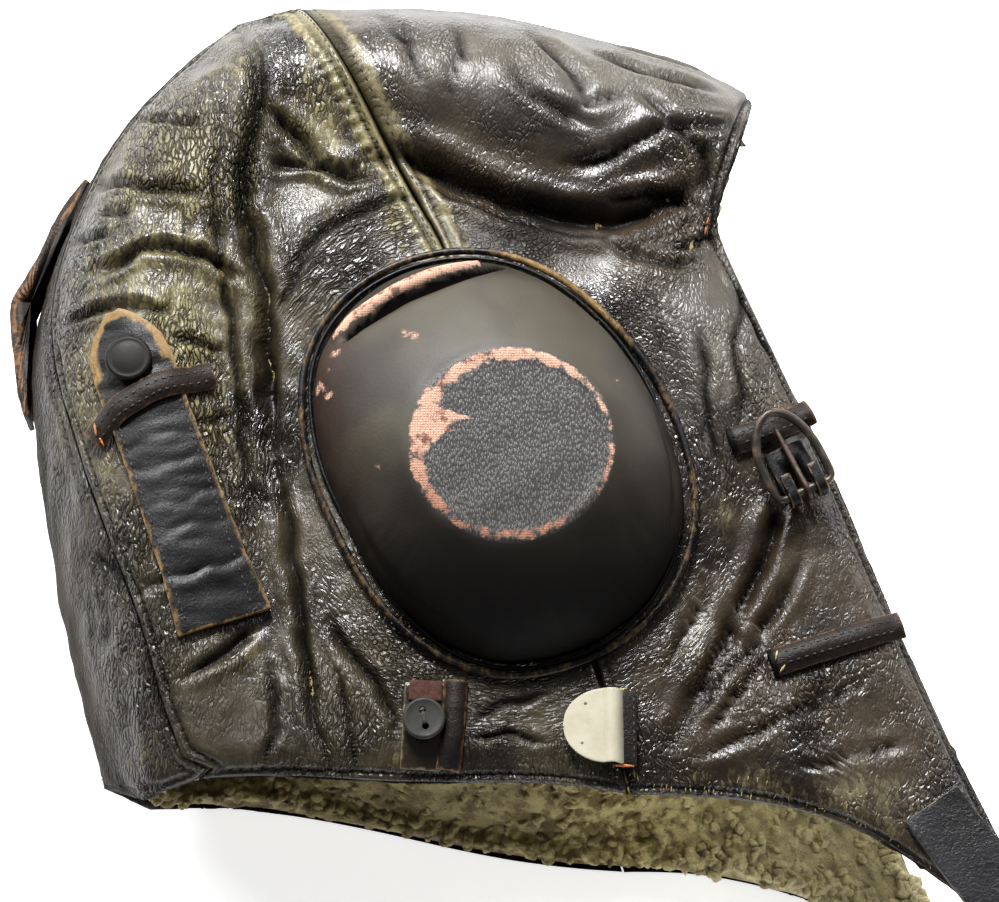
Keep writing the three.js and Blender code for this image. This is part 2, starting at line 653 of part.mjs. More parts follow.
const keeperLift = (t) => (t > STRAP_CROSSING[0] && t < STRAP_CROSSING[1] ? GOGGLE_STRAP.thickness + SEAT_GAP : 0);
const keeperSamples = straightSamples(KEEPER.from, KEEPER.to, 14, () => KEEPER.width, keeperLift);
addPiece('strap_keeper', strip(keeperSamples, KEEPER.thickness), strapLeather());

// A round piece standing on the leather, square to it
function seatOnLeather(mesh, x, y, lift, reach) {
  const slope = (dx, dy) => (topHeight(x + dx, y + dy) - topHeight(x - dx, y - dy)) / (2 * reach);
  const normal = vec(-slope(reach, 0), -slope(0, reach), 1).normalize();
  mesh.quaternion.setFromUnitVectors(vec(0, 0, 1), normal);
  mesh.position.set(x, y, topHeight(x, y)).addScaledVector(normal, lift);
}

const [capX, capY] = strapPlace(CAP_ALONG);
const capOutline = CAP_PROFILE.map(([r, z]) => new THREE.Vector2(r, z));
const capGeometry = new THREE.LatheGeometry(capOutline, 28).rotateX(Math.PI / 2);
const cap = addPiece('snap_cap', capGeometry, capMetal());
const capSeat = GOGGLE_STRAP.thickness + 2 * SEAT_GAP + CAP_LIFT;
seatOnLeather(cap, capX, capY, capSeat, CAP_SEAT_REACH);

// Strap loops at the face edge
const loopSamples = (loop) => straightSamples(loop.from, loop.to, 9, () => loop.width);
addPiece('upper_loop', strip(loopSamples(UPPER_LOOP), UPPER_LOOP.thickness), strapLeather());
addPiece('lower_loop', strip(loopSamples(LOWER_LOOP), LOWER_LOOP.thickness), strapLeather());

// Buckle: a wire frame hinged in a folded tab, with its prong

const barLeft = new THREE.Vector2(...BUCKLE.left);
const barRight = new THREE.Vector2(...BUCKLE.right);
const barMiddle = barLeft.clone().add(barRight).divideScalar(2);
const barAlong = barRight.clone().sub(barLeft).normalize();
const barAway = new THREE.Vector2(-barAlong.y, barAlong.x);
const barHalf = barLeft.distanceTo(barRight) / 2;
const curlRadius = BUCKLE.wire + PRONG.clearance + PRONG.wire;
const tabEnd = barMiddle.clone().addScaledVector(barAway, BUCKLE_TAB.tail);
const underBuckle = Math.max(...[barMiddle, tabEnd].map(({ x, y }) => clearHeight(x, y, BUCKLE.probe)));
const barZ = underBuckle + GAP + curlRadius + PRONG.wire;

// A point in the buckle's own frame: along the bar, away from the bar, height over the bar
function bucklePoint(along, away, height) {
  const x = barMiddle.x + barAlong.x * along + barAway.x * away;
  const y = barMiddle.y + barAlong.y * along + barAway.y * away;
  return vec(x, y, barZ + height);
}

// Round wire along a path, closed or open, with its section turned to follow the path
function wire(path, radius, closed) {
  const curve = new THREE.CatmullRomCurve3(path, closed, 'centripetal');
  const steps = Math.round(curve.getLength() / (radius * WIRE_STEP));
  if (!closed) {
    const section = new THREE.Shape();
    section.absarc(0, 0, radius, 0, 2 * Math.PI);
    return new THREE.ExtrudeGeometry(section, { steps, curveSegments: WIRE_SIDES / 2, extrudePath: curve });
  }
  const frames = curve.computeFrenetFrames(steps, true);
  const rows = Array.from({ length: steps }, (_, k) => {
    const centre = curve.getPointAt(k / steps);
    return Array.from({ length: WIRE_SIDES }, (__, side) => {
      const turn = (side * 2 * Math.PI) / WIRE_SIDES;
      return centre.clone()
        .addScaledVector(frames.normals[k], radius * Math.cos(turn))
        .addScaledVector(frames.binormals[k], radius * Math.sin(turn));
    });
  });
  return loft(rows, true);
}

const liftAt = (away) => (BUCKLE.lift * away) / BUCKLE.reach;
const framePath = [
  [-barHalf, 0], [-barHalf / 2, 0], [0, 0], [barHalf / 2, 0], [barHalf, 0],
  [barHalf + BUCKLE_BULGE.right, BUCKLE.reach / 4],
  [barHalf - BUCKLE_BULGE.shoulder, BUCKLE.reach * 0.54],
  [barHalf * BUCKLE_BULGE.topShare, BUCKLE_BULGE.topRight],
  [0, BUCKLE.reach],
  [-barHalf * BUCKLE_BULGE.topShare, BUCKLE_BULGE.topLeft],
  [-barHalf - BUCKLE_BULGE.left / 2, BUCKLE.reach * 0.6],
  [-barHalf - BUCKLE_BULGE.left, BUCKLE.reach / 4],
].map(([along, away]) => bucklePoint(along, away, liftAt(away)));
addPiece('buckle_frame', wire(framePath, BUCKLE.wire, true), wornEnamel());

const prongPath = [
  ...Array.from({ length: PRONG.steps + 1 }, (_, k) => {
    const turn = THREE.MathUtils.degToRad(THREE.MathUtils.lerp(PRONG.fromTurn, PRONG.toTurn, k / PRONG.steps));
    return bucklePoint(0, curlRadius * Math.cos(turn), curlRadius * Math.sin(turn));
  }),
  ...PRONG_RISE.map(([away, height]) => bucklePoint(0, away, height)),
  bucklePoint(0, PRONG.tip, PRONG_TIP_HEIGHT),
];
addPiece('buckle_prong', wire(prongPath, PRONG.wire, false), copperWire());

// Tab profile in the plane square to the bar: away from the bar and height
const wrapInner = BUCKLE.wire + BUCKLE_TAB.clearance;
const wrapOuter = wrapInner + BUCKLE_TAB.thickness;
const tabOutline = new THREE.Shape();
tabOutline.moveTo(BUCKLE_TAB.overlap, wrapInner);
tabOutline.lineTo(0, wrapInner);
tabOutline.absarc(0, 0, wrapInner, Math.PI / 2, (3 * Math.PI) / 2, false);
tabOutline.lineTo(BUCKLE_TAB.tail, -wrapInner);
tabOutline.lineTo(BUCKLE_TAB.tail, -wrapOuter);
tabOutline.lineTo(0, -wrapOuter);
tabOutline.absarc(0, 0, wrapOuter, (3 * Math.PI) / 2, Math.PI / 2, true);
tabOutline.lineTo(BUCKLE_TAB.overlap, wrapOuter);
tabOutline.closePath();
const tabBody = { depth: BUCKLE_TAB.width, bevelEnabled: false, curveSegments: 10 };
const tabBlank = new THREE.ExtrudeGeometry(tabOutline, tabBody);
tabBlank.translate(0, 0, -BUCKLE_TAB.width / 2);
const slotLength = 2 * wrapOuter + BUCKLE_TAB.overlap;
const slotTool = new THREE.BoxGeometry(slotLength, 4 * wrapOuter, BUCKLE_TAB.slot);
slotTool.translate(slotLength / 2 - wrapOuter - BUCKLE_TAB.slotMargin, 0, 0);
const tabGeometry = fromSolid(toSolid(tabBlank).subtract(toSolid(slotTool)));
const tab = addPiece('buckle_tab', tabGeometry, strapLeather());
const tabFrame = new THREE.Matrix4().makeBasis(
  vec(barAway.x, barAway.y, 0),
  vec(0, 0, 1),
  vec(barAway.y, -barAway.x, 0),
);
tab.quaternion.setFromRotationMatrix(tabFrame);
tab.position.copy(bucklePoint(0, 0, 0));

// Button on its patch, with the rolled cord loop beside it
const patchSamples = straightSamples(BUTTON_PATCH.from, BUTTON_PATCH.to, 6, () => BUTTON_PATCH.width);
addPiece('button_patch', strip(patchSamples, BUTTON_PATCH.thickness), strapLeather());

const buttonShape = new THREE.Shape();
buttonShape.absarc(0, 0, BUTTON.radius, 0, 2 * Math.PI);
for (const side of [-1, 1]) {
  const hole = new THREE.Path();
  hole.absarc(0, (side * BUTTON.holeSpacing) / 2, BUTTON.hole, 0, 2 * Math.PI);
  buttonShape.holes.push(hole);
}
const buttonBody = { depth: BUTTON.thickness, bevelEnabled: false, curveSegments: 12 };
const button = addPiece('button', new THREE.ExtrudeGeometry(buttonShape, buttonBody), greyHorn());
const patchTop = clearHeight(BUTTON.x, BUTTON.y, BUTTON.radius) + SEAT_GAP + BUTTON_PATCH.thickness;
button.position.set(BUTTON.x, BUTTON.y, patchTop + SEAT_GAP);

const cordLift = SEAT_GAP + CORD_LOOP.radius;
const cordPath = CORD_LOOP.route.map(([x, y]) => vec(x, y, clearHeight(x, y, CORD_LOOP.probe) + cordLift));
addPiece('cord_loop', wire(cordPath, CORD_LOOP.radius, false), strapLeather());

// Mask hook: a D-shaped plate whose straight side is bent under itself
const hookSection = new THREE.Shape();
const bendX = HOOK.right - HOOK.bend;
const hookMargin = 1;
hookSection.moveTo(HOOK.left - hookMargin, 2 * HOOK.bend);
hookSection.lineTo(bendX, 2 * HOOK.bend);
hookSection.absarc(bendX, HOOK.bend, HOOK.bend, Math.PI / 2, -Math.PI / 2, true);
hookSection.lineTo(bendX - HOOK.leaf, 0);
hookSection.lineTo(bendX - HOOK.leaf, HOOK.sheet);
hookSection.lineTo(bendX, HOOK.sheet);
hookSection.absarc(bendX, HOOK.bend, HOOK.bend - HOOK.sheet, -Math.PI / 2, Math.PI / 2, false);
hookSection.lineTo(HOOK.left - hookMargin, 2 * HOOK.bend - HOOK.sheet);
hookSection.closePath();
const hookBody = { depth: HOOK.height, bevelEnabled: false, curveSegments: 8 };
const hookBlank = new THREE.ExtrudeGeometry(hookSection, hookBody);
hookBlank.rotateX(Math.PI / 2);
hookBlank.translate(0, HOOK.middleY + HOOK.height / 2, 0);
const plateOutline = new THREE.Shape();
const halfHook = HOOK.height / 2;
const roundX = HOOK.left + HOOK.roundReach;
const [roundFrom, roundTo] = [Math.PI / 2, (3 * Math.PI) / 2];
plateOutline.moveTo(HOOK.right + hookMargin, HOOK.middleY - halfHook);
plateOutline.lineTo(HOOK.right + hookMargin, HOOK.middleY + halfHook);
plateOutline.lineTo(roundX, HOOK.middleY + halfHook);
plateOutline.absellipse(roundX, HOOK.middleY, HOOK.roundReach, halfHook, roundFrom, roundTo, false, 0);
plateOutline.closePath();
const plateDepth = 2 * HOOK.bend + 2 * hookMargin;
const plateBody = { depth: plateDepth, bevelEnabled: false, curveSegments: 20 };
const plateBlank = new THREE.ExtrudeGeometry(plateOutline, plateBody);
plateBlank.translate(0, 0, -hookMargin);
const hookGeometry = fromSolid(toSolid(hookBlank).intersect(toSolid(plateBlank)));
const hook = addPiece('mask_hook', hookGeometry, creamPaint());
hook.position.z = clearHeight((HOOK.left + HOOK.right) / 2, HOOK.middleY, HOOK.height / 2) + GAP;

const hookStripSamples = straightSamples(
  [HOOK_STRIP.x, HOOK_STRIP.from], [HOOK_STRIP.x, HOOK_STRIP.to], 6, () => HOOK_STRIP.width,
);
addPiece('hook_strip', strip(hookStripSamples, HOOK_STRIP.thickness), strapLeather());

// A ribbon along a path, its width along one direction and its thickness square to both
function ribbon(path, widthDirection, width, thickness) {
  const rows = path.map((point, k) => {
    const tangent = path[Math.min(k + 1, path.length - 1)].clone().sub(path[Math.max(k - 1, 0)]).normalize();
    const side = widthDirection.clone().setLength(width / 2);
    const out = tangent.clone().cross(widthDirection).setLength(thickness / 2);
    return [
      point.clone().add(side).add(out),
      point.clone().sub(side).add(out),
      point.clone().sub(side).sub(out),
      point.clone().add(side).sub(out),
    ];
  });
  return loft(rows);
}

// Back strap, standing off the nape
const backCurve = new THREE.CatmullRomCurve3(BACK_STRAP.route.map(([x, y]) => vec(x, y, BACK_STRAP.middleZ)));
const backPath = backCurve.getPoints(BACK_STRAP.steps);
addPiece('back_strap', ribbon(backPath, vec(0, 0, 1), BACK_STRAP.width, BACK_STRAP.thickness), strapLeather());
const studGeometry = new THREE.CylinderGeometry(BACK_STUD.radius, BACK_STUD.radius, BACK_STUD.height, 20);
const backStud = addPiece('back_strap_stud', studGeometry.rotateZ(Math.PI / 2), nickel());
backStud.position.set(BACK_STUD.x, BACK_STUD.y, BACK_STRAP.middleZ);

// Chin strap: from the right cheek, round the chin and back under the left cheek

const chinAlong = vec(CHIN_STRAP.along[0], CHIN_STRAP.along[1], 0).normalize();
const chinAcross = vec(chinAlong.y, -chinAlong.x, 0);
const underChin = clearHeight(CHIN_PROBE.x, CHIN_PROBE.y, CHIN_PROBE.reach);
const chinTopZ = underChin + SEAT_GAP + CHIN_STRAP.thickness / 2;
const chinFloorZ = GAP + CHIN_STRAP.thickness / 2;
const chinBend = (chinTopZ - chinFloorZ) / 2;

// A point of the strap's line: distance along the cheeks, height, and share of the sideways shift
function chinPoint(along, z, shiftShare) {
  const point = vec(CHIN_STRAP.start[0], CHIN_STRAP.start[1], z);
  return point.addScaledVector(chinAlong, along).addScaledVector(chinAcross, CHIN_SHIFT * shiftShare);
}

function chinBendPoint(share, radius) {
  const turn = Math.PI * share;
  const along = CHIN_STRAP.straight + radius * Math.sin(turn);
  return chinPoint(along, chinFloorZ + chinBend + radius * Math.cos(turn), share);
}

const innerBend = chinBend - CHIN_STRAP.thickness - GAP;
const rightChinPath = CHIN_RIGHT_STEPS.map((along) => chinPoint(along, chinTopZ, 0));
for (let k = 0; k <= CHIN_BEND_STEPS * CHIN_RIGHT_END; k += 1) {
  rightChinPath.push(chinBendPoint(k / CHIN_BEND_STEPS, chinBend));
}
const leftChinPath = CHIN_LEFT_STEPS.map((along) => chinPoint(along, chinFloorZ, 1));
leftChinPath.push(chinPoint(CHIN_STRAP.straight - CHIN_RISE.before, chinFloorZ + CHIN_RISE.height, 1));
for (let k = CHIN_BEND_STEPS - 1; k >= CHIN_BEND_STEPS * CHIN_OVERLAP; k -= 1) {
  const tuck = 1 - smoothstep(...CHIN_TUCK, k / CHIN_BEND_STEPS);
  leftChinPath.push(chinBendPoint(k / CHIN_BEND_STEPS, THREE.MathUtils.lerp(chinBend, innerBend, tuck)));
}
const chinRibbon = (path) => ribbon(path, chinAcross, CHIN_STRAP.width, CHIN_STRAP.thickness);
addPiece('chin_strap_right', chinRibbon(rightChinPath), strapLeather());
addPiece('chin_strap_left', chinRibbon(leftChinPath), strapLeather());

// Plain press stud through the overlap of the two chin strap ends
const studRadius = chinBend + CHIN_STRAP.thickness / 2 + GAP + CHIN_STUD.height / 2;
const studMiddle = chinBendPoint(CHIN_STUD.share, studRadius);
const studOut = studMiddle.clone().sub(chinBendPoint(CHIN_STUD.share, chinBend)).normalize();
const { radius: studWidth, height: studHeight, sides: studSides } = CHIN_STUD;
const chinStudGeometry = new THREE.CylinderGeometry(studWidth, studWidth, studHeight, studSides);
const chinStud = addPiece('chin_press_stud', chinStudGeometry, capMetal());
chinStud.quaternion.setFromUnitVectors(vec(0, 1, 0), studOut);
chinStud.position.copy(studMiddle);

export default helmet;
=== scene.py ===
import math
import random

import bmesh
import bpy
import numpy as np
from mathutils import Matrix, Vector, noise
from mathutils.bvhtree import BVHTree
from mathutils.kdtree import KDTree


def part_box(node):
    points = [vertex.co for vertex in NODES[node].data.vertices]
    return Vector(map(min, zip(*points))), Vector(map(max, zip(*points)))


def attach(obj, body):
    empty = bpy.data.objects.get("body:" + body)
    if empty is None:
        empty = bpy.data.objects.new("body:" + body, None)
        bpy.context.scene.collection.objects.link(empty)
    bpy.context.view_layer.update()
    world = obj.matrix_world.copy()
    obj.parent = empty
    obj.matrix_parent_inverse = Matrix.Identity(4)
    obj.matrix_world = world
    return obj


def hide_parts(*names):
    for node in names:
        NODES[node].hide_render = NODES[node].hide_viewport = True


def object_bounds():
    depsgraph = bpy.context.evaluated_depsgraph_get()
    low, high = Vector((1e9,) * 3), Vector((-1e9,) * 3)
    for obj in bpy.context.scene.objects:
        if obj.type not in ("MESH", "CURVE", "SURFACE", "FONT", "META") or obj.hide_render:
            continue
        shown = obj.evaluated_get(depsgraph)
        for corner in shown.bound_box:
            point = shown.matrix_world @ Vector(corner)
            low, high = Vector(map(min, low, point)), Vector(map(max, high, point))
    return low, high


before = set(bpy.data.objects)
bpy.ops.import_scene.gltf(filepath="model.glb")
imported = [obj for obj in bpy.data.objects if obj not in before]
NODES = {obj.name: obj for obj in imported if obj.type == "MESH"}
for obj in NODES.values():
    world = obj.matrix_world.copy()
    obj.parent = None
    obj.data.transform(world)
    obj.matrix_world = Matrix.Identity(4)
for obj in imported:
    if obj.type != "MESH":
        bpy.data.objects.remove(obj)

cad_low, cad_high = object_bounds()
MM = 0.001

# The camera looks down on the right side of the lying helmet, from the neck side
CAMERA_TARGET = Vector((-0.0034, 0.005, 0.100))
CAMERA_ELEVATION = math.radians(72)
CAMERA_AWAY = 1.0
CAMERA_LENS = 126.4

camera = bpy.data.objects.new("camera", bpy.data.cameras.new("camera"))
back = Vector((0, -math.cos(CAMERA_ELEVATION), math.sin(CAMERA_ELEVATION)))
camera.location = CAMERA_TARGET + back * CAMERA_AWAY
camera.rotation_mode = "QUATERNION"
camera.rotation_quaternion = (-back).to_track_quat("-Z", "Y")
camera.data.lens = CAMERA_LENS
camera.data.sensor_width = 36
bpy.context.scene.collection.objects.link(camera)
bpy.context.scene.camera = camera

# Outline of the ear opening seen from the side: angle in degrees, radius in mm
EAR_OVAL = [
    (15, 51.6), (41, 53), (63, 57.7), (83, 65.5), (99, 70.8), (116, 73.7), (131, 74.2),
    (147, 71.5), (163, 64.7), (179, 59.1), (198, 54.3), (223, 54.8), (244, 58), (256, 60.1),
    (270, 61.5), (283, 60.8), (300, 60.3), (317, 59.2), (337, 56.9), (355, 54.1),
]
DISC_RADIUS = 28.5

# The leather's thickness at its full, the stitch rows' distance from an edge and the stitches' pitch, in mm
SKIN_THICKNESS = 1.7
SEWN_INSET = 2.9
STITCH_PITCH = 3.0

# Folds of the right side: depth and half width in mm, and the line as x, y in mm
FOLDS = {
    "under the crown roll": (4.0, 4.8, [
        (-47, 98), (-33, 101), (-18, 94), (-2, 87), (14, 82), (29, 81), (45, 85), (57, 91),
    ]),
    "second crease under the roll": (1.6, 2.4, [(-30, 94), (-14, 87), (3, 80), (20, 76), (36, 76)]),
    "behind the ear, upper": (3.3, 3.7, [
        (-84, 148), (-77, 133), (-75, 121), (-77, 108), (-79, 94), (-77, 78), (-72, 57), (-71, 37),
        (-70, 18), (-69, 1),
    ]),
    "behind the ear, lower": (1.7, 2.6, [(-69, 4), (-65, -8), (-61, -36), (-57, -63), (-55, -80)]),
    "beside the valley": (1.4, 2.0, [(-85, 120), (-88, 96), (-86, 70), (-80, 40), (-77, 10), (-73, -20)]),
    "roll lower edge": (2.4, 3.0, [(-76, 118), (-65, 108), (-57, 99), (-48, 95), (-39, 95)]),
    "roll lower edge 2": (1.2, 2.0, [(-72, 99), (-63, 98), (-54, 97)]),
    "above the ear 1": (1.3, 2.2, [(-66, 62), (-57, 76), (-47, 81), (-37, 86), (-24, 88)]),
    "above the ear 2": (1.0, 1.8, [(-91, 69), (-85, 65), (-79, 60)]),
    "above the ear 3": (1.2, 2.0, [(-57, 72), (-63, 63), (-67, 50)]),
    "star dent 1": (1.9, 3.0, [(1, 134), (2, 123), (8, 117), (17, 112), (23, 108)]),
    "star dent 2": (1.8, 2.8, [(6, 143), (14, 133), (20, 124), (23, 115)]),
    "star dent 3": (1.2, 2.2, [(17, 112), (27, 116), (37, 122)]),
    "roll right 1": (1.6, 2.6, [(14, 97), (24, 97), (35, 102), (45, 107), (69, 110)]),
    "roll right 2": (1.7, 2.6, [(38, 121), (49, 109), (56, 100), (59, 85)]),
    "roll right 3": (1.6, 2.4, [(27, 86), (40, 89), (48, 86), (57, 84)]),
    "roll right 4": (1.4, 2.2, [(22, 77), (34, 70), (45, 66), (56, 64)]),
    "roll right 5": (1.2, 1.8, [(44, 70), (55, 73), (61, 77)]),
    "roll right 6": (1.3, 2.4, [(24, 136), (42, 128), (62, 123)]),
    "roll right 7": (1.1, 2.2, [(30, 145), (46, 138), (66, 134)]),
    "roll left": (1.4, 2.8, [(-40, 150), (-30, 135), (-27, 118)]),
    "roll left 2": (1.1, 2.4, [(-16, 148), (-14, 132), (-20, 114)]),
    "rear 1": (1.9, 2.6, [(-126, 97), (-115, 93), (-108, 90), (-100, 89), (-88, 88)]),
    "rear 2": (1.9, 2.5, [
        (-126, 65), (-119, 64), (-114, 66), (-109, 70), (-102, 70), (-95, 69), (-90, 69), (-85, 65),
        (-76, 60),
    ]),
    "rear 3": (1.7, 2.4, [
        (-133, 50), (-124, 51), (-117, 52), (-111, 51), (-104, 50), (-100, 50), (-98, 56),
    ]),
    "rear 4": (1.2, 1.9, [(-99, 41), (-91, 40), (-82, 39)]),
    "rear 5": (1.1, 1.8, [(-130, 78), (-117, 75)]),
    "rear 6": (1.1, 1.8, [(-122, 85), (-112, 82)]),
    "rear 7": (1.2, 2.0, [(-112, 118), (-100, 112), (-90, 112)]),
    "rear 8": (1.1, 2.0, [(-100, 20), (-90, 17), (-80, 19)]),
    "rear low 1": (1.5, 2.4, [(-92, -60), (-79, -51), (-71, -44)]),
    "rear low 2": (1.3, 2.2, [(-104, -34), (-92, -30), (-80, -34)]),
    "rear low 3": (1.2, 2.0, [(-126, -20), (-116, -24), (-108, -34)]),
    "below the ear 1": (2.0, 2.6, [(-51, -43), (-46, -52), (-37, -62), (-33, -72), (-33, -81)]),
    "below the ear 2": (1.2, 2.2, [(-60, -46), (-57, -63), (-54, -75), (-51, -86)]),
    "below the ear 3": (1.3, 1.8, [(-49, -58), (-45, -74), (-44, -87)]),
    "below the ear 4": (1.4, 2.0, [(-68, -56), (-66, -75), (-70, -86)]),
    "beside the hook 1": (0.9, 1.9, [(-12, -72), (-3, -68), (10, -64)]),
    "beside the hook 2": (0.8, 1.8, [(-12, -77), (0, -76), (10, -78)]),
    "cheek 1": (2.4, 3.0, [(82, 6), (77, -10), (70, -28), (62, -46), (54, -62), (42, -78)]),
    "cheek 2": (1.5, 2.2, [(84, -22), (76, -38), (67, -50), (55, -66), (40, -84)]),
    "cheek 3": (1.2, 2.0, [(73, -49), (64, -64), (53, -76)]),
    "cheek 4": (1.2, 2.0, [(93, -60), (80, -69), (66, -76), (50, -84)]),
    "cheek 5": (1.0, 1.8, [(101, -58), (90, -66), (75, -74)]),
    "cheek 6": (1.2, 1.8, [(58, -24), (52, -42), (44, -58)]),
    "cheek 7": (1.0, 1.8, [(112, -78), (96, -82), (78, -86)]),
    "face 1": (1.2, 2.2, [(65, 69), (68, 57), (65, 41), (67, 23), (64, 8)]),
    "face 2": (1.0, 2.0, [(54, 46), (57, 29), (57, 14), (60, 0)]),
    "face 3": (1.2, 2.0, [(66, 56), (74, 41), (83, 30)]),
    "face 4": (1.0, 2.0, [(70, 10), (80, 4), (90, 0)]),
}

# The seam from the crown down to the ear: x, y in mm
CROWN_SEAM = [(-64, 157), (-55, 139), (-36, 105), (-19, 69)]

# Small worn spots and holes in the leather: x, y, radius, depth
PITS = [(-116, -45, 2.4, 1.6), (-124.5, -45.5, 1.4, 0.9), (-121, -43, 1.2, 0.8)]

# Where the dye is rubbed down to the yellow hide: x, y, half width, half height, strength
RUBS = [
    (-98, 60, 26, 70, 0.75), (-118, 40, 12, 60, 0.6), (-98, -10, 20, 34, 0.3), (-74, -48, 7, 20, 0.25),
    (-58, 114, 9, 24, 1.0), (-30, 78, 9, 12, 1.0), (-84, 128, 10, 16, 0.6), (-44, 98, 8, 8, 0.6),
    (-37, -83, 9, 5, 0.4), (-62, -78, 12, 10, 0.15), (50, 104, 22, 16, 0.35), (62, 40, 9, 18, 0.3),
    (76, 20, 7, 10, 0.45), (97, -92, 16, 9, 0.6), (70, -90, 22, 6, 0.6), (52, -50, 7, 16, 0.4),
    (60, -10, 6, 20, 0.4), (-100, -80, 30, 8, 0.2), (108, -100, 12, 12, 0.5), (40, -64, 10, 10, 0.3),
]

# Where the leather is painted greyer as a soft sheen, and made rougher: x, y, half width, half height,
# strength
SHEEN_PATCHES = [(25, 128, 46, 20, 0.9), (-22, 132, 18, 16, 0.5), (58, 46, 14, 26, 0.7), (66, 96, 10, 16, 0.6)]

# Darker and duller places on the leather, the one under the crown roll being painted shadow of the roll: x,
# y, half width, half height, strength
DARKER_SPOTS = [
    (-77, -73, 20, 14, 0.6), (-125, -28, 10, 30, 0.5), (11, 75, 30, 8, 0.7), (2, -83, 14, 8, 0.3),
    (-119, 52, 10, 14, 0.25),
]


def mix_of(low, high, value):
    """Eased share of the way from low to high, 0 to 1."""
    t = np.clip((np.asarray(value, dtype=float) - low) / (high - low), 0, 1)
    return t * t * (3 - 2 * t)


def hex_linear(text):
    """Linear colour of an sRGB hex value."""
    parts = [int(text[i : i + 2], 16) / 255 for i in (1, 3, 5)]
    return [p / 12.92 if p <= 0.04045 else ((p + 0.055) / 1.055) ** 2.4 for p in parts] + [1.0]


def add(tree, kind, settings=None, inputs=None, output=0):
    """Adds one shader node, sets it, links or fills its inputs, and gives back one of its outputs."""
    made = tree.nodes.new("ShaderNode" + kind)
    for key, value in (settings or {}).items():
        setattr(made, key, value)
    for key, value in (inputs or {}).items():
        if isinstance(value, bpy.types.NodeSocket):
            tree.links.new(value, made.inputs[key])
        else:
            made.inputs[key].default_value = value
    return made.outputs[output]


def new_material(name):
    """An empty material with its tree, its shader and the piece's own coordinates."""
    made = bpy.data.materials.new(name)
    made.use_nodes = True
    tree = made.node_tree
    return made, tree, tree.nodes["Principled BSDF"], add(tree, "TexCoord", output="Object")


# Settings of the nodes that are used again and again. Inputs go by number where names repeat: a Mix has
# its factor at 0, numbers at 2 and 3 and colours at 6 and 7, and a Map Range goes from 1..2 to 3..4.
SOFT = {"interpolation_type": "SMOOTHSTEP"}
TIMES = {"operation": "MULTIPLY"}
PLUS = {"operation": "ADD"}
LARGER = {"operation": "MAXIMUM"}
TIMES_PLUS = {"operation": "MULTIPLY_ADD"}
COLOURS = {"data_type": "RGBA"}
NUMBERS = {"data_type": "FLOAT"}
STRETCHED = {"vector_type": "TEXTURE"}
TO_THE_EDGE = {"feature": "DISTANCE_TO_EDGE"}
NEAREST = {"feature": "F1"}


